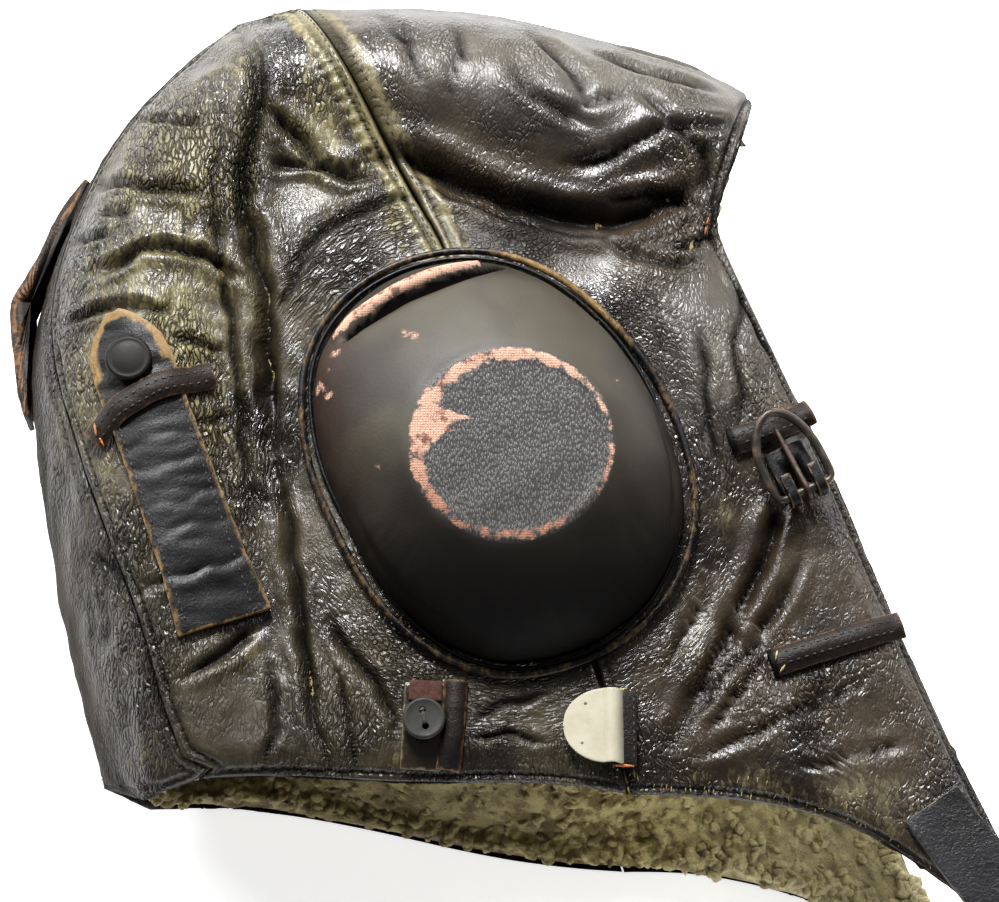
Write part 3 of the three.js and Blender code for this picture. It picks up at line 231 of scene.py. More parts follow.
def oiled_leather(name, dark, middle, worn, roughness, relief, grain, cell_size, gleam=0.5):
    """Chrome tanned horsehide, dyed and oiled: a film pulled into small upright cells with dark lines
    between, which break its shine into glints, and the dye rubbed off cell by cell to the yellow hide.
    cell_size: one cell across, along and through, in mm."""
    made, tree, shader, place = new_material(name)
    # the cells' lines are bent by a noise 7 mm across, 4 mm to and fro
    bend = add(tree, "TexNoise", None, {"Vector": place, "Scale": 150.0, "Detail": 3.0}, "Color")
    bent = add(tree, "VectorMath", TIMES_PLUS, {0: bend, 1: (0.0042, 0.0042, 0.0042), 2: place})
    swirl = add(tree, "Attribute", {"attribute_name": "round_ear"}, None, "Vector")
    around = add(tree, "VectorMath", TIMES_PLUS, {0: bend, 1: (4.2, 4.2, 4.2), 2: swirl})
    ringed, wrinkled, rub, painted_shade, sewn, along, dull, painted_sheen = (
        add(tree, "Attribute", {"attribute_name": held}, None, "Fac")
        for held in ("ringed", "wrinkled", "rub", "painted_shade", "sewn", "along", "dull", "painted_sheen")
    )
    # broad patches of thinner and thicker dye, 30 mm across, and the fine grain under the film, 1 mm
    patches = add(tree, "TexNoise", None, {"Vector": place, "Scale": 34.0, "Detail": 5.0, "Roughness": 0.6})
    fine = add(tree, "TexNoise", None, {"Vector": bent, "Scale": 1000.0, "Detail": 3.0, "Roughness": 0.65})
    # pulled cells, up and down the side, and round the ear beside the cup
    in_metres = [MM * size for size in cell_size]
    upright = add(tree, "Mapping", STRETCHED, {"Vector": bent, "Scale": in_metres})
    circling = add(tree, "Mapping", STRETCHED, {"Vector": around, "Scale": cell_size})
    upright_line = add(tree, "TexVoronoi", TO_THE_EDGE, {"Vector": upright, "Scale": 1.0})
    circling_line = add(tree, "TexVoronoi", TO_THE_EDGE, {"Vector": circling, "Scale": 1.0})
    upright_cell = add(tree, "TexVoronoi", NEAREST, {"Vector": upright, "Scale": 1.0}, "Color")
    circling_cell = add(tree, "TexVoronoi", NEAREST, {"Vector": circling, "Scale": 1.0}, "Color")
    line = add(tree, "Mix", NUMBERS, {0: ringed, 2: upright_line, 3: circling_line})
    cell = add(tree, "Mix", COLOURS, {0: ringed, 6: upright_cell, 7: circling_cell}, 2)
    chance = add(tree, "SeparateColor", None, {0: cell})
    dome = add(tree, "MapRange", SOFT, {0: line, 1: 0.0, 2: 0.26})
    between = add(tree, "MapRange", SOFT, {0: line, 1: 0.1, 2: 0.0})
    # dye, worn through cell by cell where hands rub
    dye = add(tree, "MapRange", SOFT, {0: patches, 1: 0.36, 2: 0.62})
    colour = add(tree, "Mix", COLOURS, {0: dye, 6: hex_linear(dark), 7: hex_linear(middle)}, 2)
    shade = add(tree, "MapRange", None, {0: chance, 1: 0.0, 2: 1.0, 3: 0.0, 4: 0.35})
    colour = add(tree, "Mix", COLOURS, {0: shade, 6: colour, 7: hex_linear(dark)}, 2)
    streaks = add(tree, "TexNoise", None, {"Vector": upright, "Scale": 0.42, "Detail": 3.0, "Roughness": 0.6})
    luck = add(tree, "Math", TIMES_PLUS, {0: chance, 1: 0.3, 2: rub})
    luck = add(tree, "Math", TIMES_PLUS, {0: streaks, 1: 0.9, 2: luck})
    luck = add(tree, "Math", TIMES_PLUS, {0: fine, 1: 0.5, 2: luck})
    rubbed = add(tree, "MapRange", SOFT, {0: luck, 1: 0.98, 2: 1.75, 3: 0.0, 4: 0.9})
    touched = add(tree, "MapRange", SOFT, {0: rub, 1: 0.03, 2: 0.2})
    rubbed = add(tree, "Math", TIMES, {0: rubbed, 1: touched})
    uneven = add(tree, "TexNoise", None, {"Vector": place, "Scale": 90.0, "Detail": 3.0})
    uneven = add(tree, "Math", TIMES_PLUS, {0: uneven, 1: 1.6, 2: -0.8})
    depth = add(tree, "Math", PLUS, {0: wrinkled, 1: uneven})
    depth = add(tree, "MapRange", SOFT, {0: depth, 1: 0.0, 2: 0.9, 3: 0.1, 4: 0.9})
    between_cells = add(tree, "Mix", NUMBERS, {0: depth, 2: 1.0, 3: dome})
    rubbed = add(tree, "Math", TIMES, {0: rubbed, 1: between_cells})
    colour = add(tree, "Mix", COLOURS, {0: rubbed, 6: colour, 7: hex_linear(worn)}, 2)
    # painted shade, darker down the sides that turn away from the light above and in the darker spots, and a
    # painted soft sheen, greyer, on the crown and beside the ear
    side_shade_and_dark_spots = add(tree, "Math", TIMES, {0: dull, 1: 0.7})
    colour = add(tree, "Mix", COLOURS, {0: side_shade_and_dark_spots, 6: colour, 7: hex_linear(dark)}, 2)
    sheen_share = add(tree, "Math", TIMES, {0: painted_sheen, 1: 0.6})
    colour = add(tree, "Mix", COLOURS, {0: sheen_share, 6: colour, 7: hex_linear("#5c5950")}, 2)
    # painted shade in the folds, the pits, the sewn channels and along the edges, and grime between the cells
    # and in the holes of the sewing
    turns = add(tree, "Math", TIMES, {0: along, 1: math.tau / STITCH_PITCH})
    beat = add(tree, "Math", {"operation": "SINE"}, {0: turns})
    spot = add(tree, "MapRange", SOFT, {0: beat, 1: 0.1, 2: 0.9, 3: 0.0, 4: 0.8})
    hole = add(tree, "Math", TIMES, {0: sewn, 1: spot})
    crack = add(tree, "Math", TIMES, {0: between, 1: depth})
    shade_and_grime = add(tree, "Math", LARGER, {0: painted_shade, 1: crack})
    shade_and_grime = add(tree, "Math", LARGER, {0: shade_and_grime, 1: hole})
    colour = add(tree, "Mix", COLOURS, {0: shade_and_grime, 6: colour, 7: hex_linear("#080706")}, 2)
    tree.links.new(colour, shader.inputs["Base Color"])
    # the painted shade, the grime, and the darker sides and spots take the gloss off
    matt = add(tree, "Math", LARGER, {0: shade_and_grime, 1: dull})
    gloss = add(tree, "MapRange", None, {0: matt, 1: 0.0, 2: 0.9, 3: gleam, 4: 0.05})
    shader.inputs["Specular IOR Level"].default_value = gleam
    tree.links.new(gloss, shader.inputs["Specular IOR Level"])
    # oiled and polished in patches, dull where the hide is bare
    polished, unpolished = roughness - 0.05, roughness + 0.1
    shine = add(tree, "MapRange", None, {0: patches, 1: 0.35, 2: 0.65, 3: polished, 4: unpolished})
    shine = add(tree, "Math", TIMES_PLUS, {0: rubbed, 1: 0.12, 2: shine})
    shine = add(tree, "Math", TIMES_PLUS, {0: dull, 1: 0.3, 2: shine})
    shine = add(tree, "Math", TIMES_PLUS, {0: painted_sheen, 1: 0.14, 2: shine})
    tree.links.new(shine, shader.inputs["Roughness"])
    # the cells stand up to 0.5 mm proud, and the sewing holes are sunk
    pull = add(tree, "Math", TIMES, {0: dome, 1: depth})
    height = add(tree, "Math", TIMES, {0: pull, 1: relief})
    height = add(tree, "Math", TIMES_PLUS, {0: fine, 1: grain, 2: height})
    height = add(tree, "Math", TIMES_PLUS, {0: hole, 1: -0.8, 2: height})
    raised = add(tree, "Bump", None, {"Height": height, "Strength": 1.0, "Distance": 0.00055})
    tree.links.new(raised, shader.inputs["Normal"])
    return made


def leathercloth():
    """Rubber coated cloth of the ear cups: smooth black film with a soft sheen, pebbled on the disc, and
    rubbed through to its salmon cloth where it stands proud."""
    made, tree, shader, place = new_material("rubber_coated_cloth")
    bare, disc, painted_shade = (
        add(tree, "Attribute", {"attribute_name": held}, None, "Fac") for held in ("bare", "disc", "painted_shade")
    )
    # thin and thick film 26 mm across, flecks 4 mm across and a grain of 0.9 mm
    patches = add(tree, "TexNoise", None, {"Vector": place, "Scale": 38.0, "Detail": 4.0})
    flecks = add(tree, "TexNoise", None, {"Vector": place, "Scale": 240.0, "Detail": 5.0, "Roughness": 0.7})
    fine = add(tree, "TexNoise", None, {"Vector": place, "Scale": 1100.0, "Detail": 3.0})
    # pebbles 0.55 mm across and 1.4 mm long on the disc
    tall = add(tree, "Mapping", STRETCHED, {"Vector": place, "Scale": (0.00055, 0.0014, 0.0014)})
    pebbles = add(tree, "TexVoronoi", NEAREST, {"Vector": tall, "Scale": 1.0})
    pebble_top = add(tree, "MapRange", SOFT, {0: pebbles, 1: 0.72, 2: 0.18})
    pebbled = add(tree, "Math", TIMES, {0: pebble_top, 1: disc})
    # the cloth's threads are 0.3 mm apart; drawn 0.75 mm apart so that they show
    woven = {"Vector": place, "Scale": 420.0, "Distortion": 2.0}
    weave_x, weave_y = (add(tree, "TexWave", {"bands_direction": way}, woven, "Fac") for way in "XY")
    threads = add(tree, "Math", TIMES, {0: weave_x, 1: weave_y})
    thin = add(tree, "MapRange", SOFT, {0: patches, 1: 0.35, 2: 0.65})
    film = add(tree, "Mix", COLOURS, {0: thin, 6: hex_linear("#241f17"), 7: hex_linear("#3a3529")}, 2)
    # painted shade, near black low down where the dome turns away from the light above; reddish where the
    # film thins at the left
    right = add(tree, "SeparateXYZ", None, {0: place}, "X")
    up = right.node.outputs["Y"]
    low = add(tree, "MapRange", SOFT, {0: up, 1: 0.02, 2: -0.045})
    film = add(tree, "Mix", COLOURS, {0: low, 6: film, 7: hex_linear("#080605")}, 2)
    left = add(tree, "MapRange", SOFT, {0: right, 1: -0.036, 2: -0.054, 3: 0.0, 4: 0.6})
    film = add(tree, "Mix", COLOURS, {0: left, 6: film, 7: hex_linear("#2a1711")}, 2)
    film = add(tree, "Mix", COLOURS, {0: disc, 6: film, 7: hex_linear("#2b2a29")}, 2)
    film = add(tree, "Mix", COLOURS, {0: pebbled, 6: film, 7: hex_linear("#4a4846")}, 2)
    # ragged edge of the rubbed through places
    tear = add(tree, "Math", TIMES_PLUS, {0: flecks, 1: 2.4, 2: -1.2})
    tear = add(tree, "Math", PLUS, {0: tear, 1: bare})
    gone = add(tree, "MapRange", SOFT, {0: tear, 1: 0.3, 2: 0.75})
    worn_here = add(tree, "MapRange", SOFT, {0: bare, 1: 0.12, 2: 0.3})
    gone = add(tree, "Math", TIMES, {0: gone, 1: worn_here})
    cloth = add(tree, "Mix", COLOURS, {0: threads, 6: hex_linear("#b08975"), 7: hex_linear("#cda893")}, 2)
    # the cloth darker and browner towards the bottom
    browner_low_down = add(tree, "MapRange", SOFT, {0: up, 1: 0.004, 2: -0.02, 3: 0.0, 4: 0.7})
    cloth = add(tree, "Mix", COLOURS, {0: browner_low_down, 6: cloth, 7: hex_linear("#7c4a34")}, 2)
    stain = add(tree, "MapRange", SOFT, {0: flecks, 1: 0.52, 2: 0.36, 3: 0.0, 4: 0.85})
    cloth = add(tree, "Mix", COLOURS, {0: stain, 6: cloth, 7: hex_linear("#5e3325")}, 2)
    colour = add(tree, "Mix", COLOURS, {0: gone, 6: film, 7: cloth}, 2)
    # painted shade in the crevice under the slack lip and at the dome's foot beside the welt
    colour = add(tree, "Mix", COLOURS, {0: painted_shade, 6: colour, 7: hex_linear("#060505")}, 2)
    tree.links.new(colour, shader.inputs["Base Color"])
    gloss = add(tree, "MapRange", None, {0: patches, 1: 0.3, 2: 0.7, 3: 0.5, 4: 0.62})
    gloss = add(tree, "Math", TIMES_PLUS, {0: low, 1: 0.12, 2: gloss})
    gloss = add(tree, "Mix", NUMBERS, {0: disc, 2: gloss, 3: 0.42})
    gloss = add(tree, "Mix", NUMBERS, {0: gone, 2: gloss, 3: 0.9})
    tree.links.new(gloss, shader.inputs["Roughness"])
    woven = add(tree, "Math", TIMES, {0: threads, 1: gone})
    height = add(tree, "Math", TIMES, {0: pebbled, 1: 0.38})
    height = add(tree, "Math", TIMES_PLUS, {0: fine, 1: 0.2, 2: height})
    height = add(tree, "Math", TIMES_PLUS, {0: woven, 1: 0.5, 2: height})
    height = add(tree, "Math", TIMES_PLUS, {0: gone, 1: -0.3, 2: height})
    raised = add(tree, "Bump", None, {"Height": height, "Strength": 0.8, "Distance": 0.0004})
    tree.links.new(raised, shader.inputs["Normal"])
    shadow = add(tree, "Math", TIMES, {0: low, 1: 0.7})
    shadow = add(tree, "Math", LARGER, {0: shadow, 1: painted_shade})
    sheen = add(tree, "MapRange", None, {0: shadow, 1: 0.0, 2: 1.0, 3: 0.36, 4: 0.0})
    tree.links.new(sheen, shader.inputs["Specular IOR Level"])
    return made


def sheep_fleece():
    """Sheared sheepskin, yellowed: matt curled wool in clumps, darker brown as painted shade deep between the
    curls and as painted shadow under the leather's hem.
    """
    made, tree, shader, place = new_material("sheared_sheepskin")
    shade_deep_down = add(tree, "Attribute", {"attribute_name": "painted_shade"}, None, "Fac")
    # clumps 5 mm across, cleaner and dirtier places 40 mm across, and locks 0.8 mm across
    clumps = add(tree, "TexNoise", None, {"Vector": place, "Scale": 210.0, "Detail": 4.0, "Roughness": 0.6})
    broad = add(tree, "TexNoise", None, {"Vector": place, "Scale": 26.0, "Detail": 3.0})
    lock = {"Vector": place, "Scale": 1300.0, "Detail": 3.0, "Roughness": 0.7, "Distortion": 1.5}
    strands = add(tree, "TexNoise", None, lock)
    light = add(tree, "MapRange", SOFT, {0: clumps, 1: 0.4, 2: 0.58})
    colour = add(tree, "Mix", COLOURS, {0: light, 6: hex_linear("#84713a"), 7: hex_linear("#e2d392")}, 2)
    # paler towards the cheek, darker and browner towards the nape
    across = add(tree, "SeparateXYZ", None, {0: place})
    darker_to_nape = add(tree, "MapRange", SOFT, {0: across, 1: 0.045, 2: -0.01, 3: 0.0, 4: 0.6})
    colour = add(tree, "Mix", COLOURS, {0: darker_to_nape, 6: colour, 7: hex_linear("#5b4c24")}, 2)
    clean = add(tree, "MapRange", SOFT, {0: across, 1: 0.03, 2: 0.1})
    clean = add(tree, "Math", TIMES, {0: clean, 1: broad})
    colour = add(tree, "Mix", COLOURS, {0: clean, 6: colour, 7: hex_linear("#f3e8bc")}, 2)
    between = add(tree, "MapRange", SOFT, {0: strands, 1: 0.5, 2: 0.28, 3: 0.0, 4: 0.7})
    colour = add(tree, "Mix", COLOURS, {0: between, 6: colour, 7: hex_linear("#6b5628")}, 2)
    # painted shade deep between the curls and painted shadow under the leather's hem
    colour = add(tree, "Mix", COLOURS, {0: shade_deep_down, 6: colour, 7: hex_linear("#44351a")}, 2)
    tree.links.new(colour, shader.inputs["Base Color"])
    shader.inputs["Roughness"].default_value = 0.95
    shader.inputs["Specular IOR Level"].default_value = 0.2
    shader.inputs["Sheen Weight"].default_value = 0.3
    height = add(tree, "Math", TIMES_PLUS, {0: strands, 1: 0.5, 2: clumps})
    raised = add(tree, "Bump", None, {"Height": height, "Strength": 1.0, "Distance": 0.0014})
    tree.links.new(raised, shader.inputs["Normal"])
    return made


def hard_finish(
    name, clean, dull, metallic, roughness, spots_per_m=300.0, spots=(0.5, 0.7), pit=0.0001,
    chips=None, gleam=0.5
):
    """A hard piece's or a thread's finish: clean surface with duller patches, pits 0.5 mm across and pit
    metres deep, and chips 1 mm across if it is painted. spots: where in the noise the patches set in."""
    made, tree, shader, place = new_material(name)
    spotty = {"Vector": place, "Scale": spots_per_m, "Detail": 5.0, "Roughness": 0.65}
    patches = add(tree, "TexNoise", None, spotty)
    pits = add(tree, "TexNoise", None, {"Vector": place, "Scale": 2200.0, "Detail": 3.0})
    dulled = add(tree, "MapRange", SOFT, {0: patches, 1: spots[0], 2: spots[1]})
    colour = add(tree, "Mix", COLOURS, {0: dulled, 6: hex_linear(clean), 7: hex_linear(dull)}, 2)
    shine = add(tree, "MapRange", None, {0: patches, 1: 0.3, 2: 0.7, 3: roughness, 4: roughness + 0.2})
    height = add(tree, "Math", TIMES, {0: pits, 1: 0.4})
    if chips:
        flakes = add(tree, "TexVoronoi", None, {"Vector": place, "Scale": 230.0, "Randomness": 1.0})
        flake = add(tree, "MapRange", SOFT, {0: flakes, 1: 0.13, 2: 0.09})
        loose = add(tree, "MapRange", SOFT, {0: patches, 1: 0.48, 2: 0.52})
        chip = add(tree, "Math", TIMES, {0: flake, 1: loose})
        colour = add(tree, "Mix", COLOURS, {0: chip, 6: colour, 7: hex_linear(chips)}, 2)
        height = add(tree, "Math", TIMES_PLUS, {0: chip, 1: -1.0, 2: height})
    tree.links.new(colour, shader.inputs["Base Color"])
    tree.links.new(shine, shader.inputs["Roughness"])
    shader.inputs["Metallic"].default_value = metallic
    shader.inputs["Specular IOR Level"].default_value = gleam
    raised = add(tree, "Bump", None, {"Height": height, "Strength": 0.6, "Distance": pit})
    tree.links.new(raised, shader.inputs["Normal"])
    return made


# Horsehide, brown over yellow hide: the front is the browner and glossier, the rear the more pulled
FRONT_LEATHER = oiled_leather(
    "dyed_horsehide_front", "#150f0a", "#392e20", "#7a7050", roughness=0.3, relief=0.65, grain=0.2,
    cell_size=(1.2, 2.8, 2.3),
)
REAR_LEATHER = oiled_leather(
    "dyed_horsehide_rear", "#18130c", "#403929", "#7e7550", roughness=0.31, relief=0.8, grain=0.28,
    cell_size=(1.05, 4.0, 3.0),
)
# Waxed strap leather: blue black and smooth, tan where the edges are bare
STRAP_LEATHER = oiled_leather(
    "waxed_strap_leather", "#060608", "#0f0f11", "#866a40", roughness=0.4, relief=0.12, grain=0.25,
    cell_size=(0.9, 2.2, 2.2), gleam=0.24,
)
CHIN_LEATHER = oiled_leather(
    "waxed_chin_leather", "#101012", "#1e1e21", "#866a40", roughness=0.4, relief=0.4, grain=0.4,
    cell_size=(1.8, 0.9, 1.8), gleam=0.34,
)
# Thin leather folded into narrow straps: brown black, duller, reddish at the folds
TAPE_LEATHER = oiled_leather(
    "folded_strap_leather", "#0d0907", "#20160f", "#7d5a3c", roughness=0.5, relief=0.35, grain=0.35,
    cell_size=(0.9, 1.6, 1.6), gleam=0.22,
)
CUP_CLOTH = leathercloth()
FLEECE = sheep_fleece()
# Stove enamel on sheet: chalky cream, yellowed, chipped to brown
CREAM_PAINT = hard_finish(
    "baked_cream_paint", "#aaa592", "#958f79", 0.0, 0.38, 60.0, (0.4, 0.75), 0.0002, chips="#4b3d22"
)
# Japanned wire, rubbed to brown metal on its high sides
WORN_ENAMEL = hard_finish("worn_black_enamel", "#35322e", "#6a5646", 0.55, 0.34, 260.0, (0.45, 0.7))
# Drawn copper wire, tarnished nearly black
COPPER = hard_finish("tarnished_copper_wire", "#4c3d32", "#2c2622", 0.6, 0.4, 260.0, (0.45, 0.65))
# Pressed brass under black lacquer: a soft dark shine
CAP_METAL = hard_finish("lacquered_brass_cap", "#15120f", "#0f0d0b", 0.0, 0.42, 130.0, (0.4, 0.7), gleam=0.16)
# Plated stud, dull and stained
NICKEL = hard_finish("dull_nickel", "#a59c86", "#6e624a", 0.9, 0.35)
# Pressed horn: dark grey, waxy
HORN = hard_finish("pressed_grey_horn", "#282825", "#1c1c19", 0.0, 0.42, 220.0, (0.4, 0.7), gleam=0.25)
# Linen threads, waxed dark, faded orange and bare, and fibres of the hide: matt and uneven in colour
DARK_THREAD = hard_finish("waxed_linen_thread", "#1a1714", "#3a332a", 0.0, 0.6, 800.0, (0.4, 0.6), 0.0003)
ORANGE_THREAD = hard_finish("faded_orange_thread", "#c8793a", "#8a5a34", 0.0, 0.8, 900.0, (0.4, 0.6), 0.0003)
PALE_THREAD = hard_finish("bare_linen_thread", "#b9a77a", "#7c6c48", 0.0, 0.8, 900.0, (0.4, 0.6), 0.0003)
HEM_HAIR = hard_finish("yellow_hide_fibre", "#a4955a", "#6f6338", 0.0, 0.8, 900.0, (0.4, 0.6), 0.0003)
# Woven wool tape, madder red gone brown, with no shine
RED_CLOTH = hard_finish("madder_wool_tape", "#47281c", "#2e1912", 0.0, 0.9, 700.0, (0.35, 0.65), 0.0005)


def merged_copy(node):
    """A CAD node's mesh with its triangles joined at their corners."""
    copy = bmesh.new()
    copy.from_mesh(NODES[node].data)
    bmesh.ops.remove_doubles(copy, verts=copy.verts, dist=1e-6)
    copy.normal_update()
    return copy


# Thickness of the CAD walls, and how near an edge's length is to it where it runs across the wall
WALL = 2 * MM
SAME_LENGTH = 3e-6
# A border that turns more sharply than this angle between its edges keeps its corner, in degrees
CORNER = 148
# Triangles that are this near to one flat square are joined, in radians
TO_SQUARES = {"angle_face_threshold": 0.9, "angle_shape_threshold": 0.9}
# A point inside the helmet, which its walls face away from
HELMET_MIDDLE = Vector((0, 0.03, 0.048))


def outwards(side):
    """How much of a wall's side faces away from the middle of the helmet."""
    away = (f.normal.dot((f.calc_center_median() - HELMET_MIDDLE).normalized()) * f.calc_area() for f in side)
    return sum(away)


def outer_sheet(node):
    """The outer side of a wall: the faces across its thickness go, and of the two sides that are left
    the one that faces out stays."""
    copy = merged_copy(node)
    across = [f for f in copy.faces if any(abs(e.calc_length() - WALL) < SAME_LENGTH for e in f.edges)]
    bmesh.ops.delete(copy, geom=across, context="FACES")
    left = set(copy.faces)
    sides = []
    while left:
        side = {left.pop()}
        queue = list(side)
        while queue:
            beside = {other for edge in queue.pop().edges for other in edge.link_faces} & left
            left -= beside
            side |= beside
            queue += beside
        sides.append(side)
    outer = max(sides, key=outwards)
    bmesh.ops.delete(copy, geom=[f for f in copy.faces if f not in outer], context="FACES")
    bmesh.ops.join_triangles(copy, faces=copy.faces, **TO_SQUARES)
    keep = copy.verts.layers.float.new("crease_vert")
    for vert in copy.verts:
        ways = [(e.other_vert(vert).co - vert.co).normalized() for e in vert.link_edges if e.is_boundary]
        if len(ways) == 2 and ways[0].angle(ways[1]) < math.radians(CORNER):
            vert[keep] = 1.0
    return copy


def holder_of(name, shape):
    """Puts a bmesh into a new object in the scene."""
    mesh = bpy.data.meshes.new(name)
    shape.to_mesh(mesh)
    shape.free()
    made = bpy.data.objects.new(name, mesh)
    bpy.context.scene.collection.objects.link(made)
    return made


def modified(piece, kind, **settings):
    """Adds a modifier and applies it to the piece's mesh."""
    step = piece.modifiers.new(kind.title(), kind)
    for key, value in settings.items():
        setattr(step, key, value)
    graph = bpy.context.evaluated_depsgraph_get()
    result = bpy.data.meshes.new_from_object(piece.evaluated_get(graph))
    piece.modifiers.clear()
    piece.data = result
    return piece


def smoothed(piece, levels):
    """A sheet smoothed by subdivision, its borders too."""
    return modified(piece, "SUBSURF", levels=levels, render_levels=levels, boundary_smooth="ALL")


def eased_edges(piece, width, segments=2, angle=50):
    """Rounds the edges that are sharper than an angle in degrees. width: mm."""
    turn = math.radians(angle)
    return modified(
        piece, "BEVEL", width=width * MM, segments=segments, limit_method="ANGLE", angle_limit=turn
    )


def poured_together(parts):
    """One bmesh of several."""
    whole = bmesh.new()
    for part in parts:
        loose = bpy.data.meshes.new("loose")
        part.to_mesh(loose)
        part.free()
        whole.from_mesh(loose)
        bpy.data.meshes.remove(loose)
    return whole


def finished(piece, nodes, material, body="helmet"):
    """Smooth shading, material, the body that the piece rides on and the CAD nodes that it stands for."""
    piece.data.shade_smooth()
    piece.data.materials.clear()
    piece.data.materials.append(material)
    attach(piece, body)
    if nodes:
        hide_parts(*nodes)
    return piece


def places(piece):
    """Vertex places in mm."""
    flat = np.empty(len(piece.data.vertices) * 3)
    piece.data.vertices.foreach_get("co", flat)
    return flat.reshape(-1, 3) / MM


def facings(piece):
    """Vertex normals."""
    flat = np.empty(len(piece.data.vertices) * 3)
    piece.data.vertices.foreach_get("normal", flat)
    return flat.reshape(-1, 3)


def move_to(piece, points):
    piece.data.vertices.foreach_set("co", (points * MM).ravel())
    piece.data.update()


def store(piece, name, values):
    """Stores one value, or one vector, for each vertex."""
    vector = np.ndim(values) == 2
    layer = piece.data.attributes.new(name, "FLOAT_VECTOR" if vector else "FLOAT", "POINT")
    layer.data.foreach_set("vector" if vector else "value", np.ravel(values).astype(np.float32))


def wander(points, size, seed):
    """Smooth noise from -1 to 1 at each point. size: mm from hill to hill along x, y and z."""
    scaled = points / np.asarray(size) + seed
    return np.array([noise.noise(Vector(p)) for p in scaled])


def ridged(points, size, seed):
    """Sharp ridges from 0 to 1."""
    return 1 - np.abs(wander(points, size, seed)) * 2.2


def line_distance(points, line):
    """Distance of each point from a joined line seen from above, and its share of the way along it."""
    flat = points[:, :2]
    corners = np.asarray(line, dtype=float)
    lengths = np.hypot(*(corners[1:] - corners[:-1]).T)
    nearest = np.full(len(flat), 1e9)
    share = np.zeros(len(flat))
    done = 0.0
    for start, step, length in zip(corners[:-1], corners[1:] - corners[:-1], lengths):
        t = np.clip((flat - start) @ step / length**2, 0, 1)
        away = np.hypot(*(flat - start - t[:, None] * step).T)
        closer = away < nearest
        nearest[closer] = away[closer]
        share[closer] = (done + t[closer] * length) / lengths.sum()
        done += length
    return nearest, share


def ear_reach(points):
    """Distance from the ear's middle as a share of the ear opening's outline, and the angle about it."""
    angle = np.degrees(np.arctan2(points[:, 1], points[:, 0])) % 360
    degrees = [row[0] for row in EAR_OVAL]
    radii = [row[1] for row in EAR_OVAL]
    outline = np.interp(angle, degrees, radii, period=360)
    return np.hypot(points[:, 0], points[:, 1]) / outline, angle, outline


def border_loops(mesh):
    """The open borders of a sheet, each as a list of vertex numbers in order from its lowest edge on,
    so that each run gives the same."""
    shape = bmesh.new()
    shape.from_mesh(mesh)
    left = {e for e in shape.edges if e.is_boundary}
    loops = []
    while left:
        start = min(left, key=lambda edge: (edge.verts[0].co.z, edge.index))
        left.discard(start)
        first, last = start.verts
        loop = [first.index, last.index]
        while last is not first:
            step = next((e for e in last.link_edges if e in left), None)
            if step is None:
                break
            left.discard(step)
            last = step.other_vert(last)
            loop.append(last.index)
        loops.append(loop)
    shape.free()
    return loops


def nearest_places(points, targets):
    """Distance of each point from the nearest target, and that target's number."""
    tree = KDTree(len(targets))
    for i, target in enumerate(targets):
        tree.insert(target, i)
    tree.balance()
    found = [tree.find(p) for p in points]
    return np.array([f[2] for f in found]), np.array([f[1] for f in found])


def nearest_distance(points, targets):
    return nearest_places(points, targets)[0]


def run_length(line):
    """Length run so far at each point of a line."""
    steps = np.linalg.norm(line[1:] - line[:-1], axis=1)
    return np.concatenate([[0], steps.cumsum()])


# The leather panels: leather, slot and steps of subdivision
PANELS = {
    "front_panel": (FRONT_LEATHER, "front_leather", 3),
    "back_strip": (REAR_LEATHER, "rear_leather", 3),
    "rear_panel_right": (REAR_LEATHER, "rear_leather", 4),
    "rear_panel_left": (REAR_LEATHER, "rear_leather", 3),
}
# What lies on the leather, which stays flat under it
FITTINGS = [
    "ear_welt_right", "goggle_strap", "strap_keeper", "upper_loop", "lower_loop", "buckle_frame",
    "buckle_tab", "button", "button_patch", "mask_hook", "hook_strip", "cord_loop", "back_strap_stud",
    "chin_strap_right", "ear_welt_left", "chin_strap_left",
]


def fitting_points():
    """Places of all the fittings, in mm."""
    found = []
    for name in FITTINGS:
        flat = np.empty(len(NODES[name].data.vertices) * 3)
        NODES[name].data.vertices.foreach_get("co", flat)
        found.append(flat.reshape(-1, 3) / MM)
    return np.vstack(found)


ALL_FITTINGS = fitting_points()
# Heights in mm between which the shaping of the right side, which lies on top, sets in
RIGHT_SIDE = (52, 78)
# The listed folds are drawn half as deep again
FOLD_GAIN = 1.5


def tucked(points):
    """Draws the lower half of the brow edge in behind the upper half."""
    low = mix_of(46, 26, points[:, 2]) * mix_of(40, 62, points[:, 0])
    share = low * mix_of(74, 92, points[:, 1]) * mix_of(133, 124, points[:, 1])
    moved = points.copy()
    moved[:, 0] -= 5.5 * share
    return moved


def spread(points, spots):
    """Strongest of several soft oval spots at each point."""
    found = np.zeros(len(points))
    for x, y, half_x, half_y, strong in spots:
        away = ((points[:, 0] - x) / half_x) ** 2 + ((points[:, 1] - y) / half_y) ** 2
        found = np.maximum(found, strong * np.exp(-away))
    return found


def bump(values, middle, half):
    """A soft hump round a middle value."""
    return np.exp(-(((values - middle) / half) ** 2))


def folded(swayed, right):
    """Height of the drawn folds at each point, and how deep in a fold it lies, 0 to 1, which is painted as
    shade.
    """
    relief = np.zeros(len(swayed))
    painted_shade = np.zeros(len(swayed))
    for depth, half_width, line in FOLDS.values():
        away, share = line_distance(swayed, line)
        taper = np.clip(np.minimum(share, 1 - share) / 0.2, 0.12, 1) ** 0.8
        width = half_width * (0.75 + 0.25 * taper)
        valley = np.clip(1 - away / width, 0, 1) ** 1.25
        shoulder = bump(away, 1.5 * width, 0.75 * width)
        relief += FOLD_GAIN * depth * taper * (0.34 * shoulder - valley) * right
        painted_shade = np.maximum(painted_shade, valley * taper * right)
    return relief, painted_shade


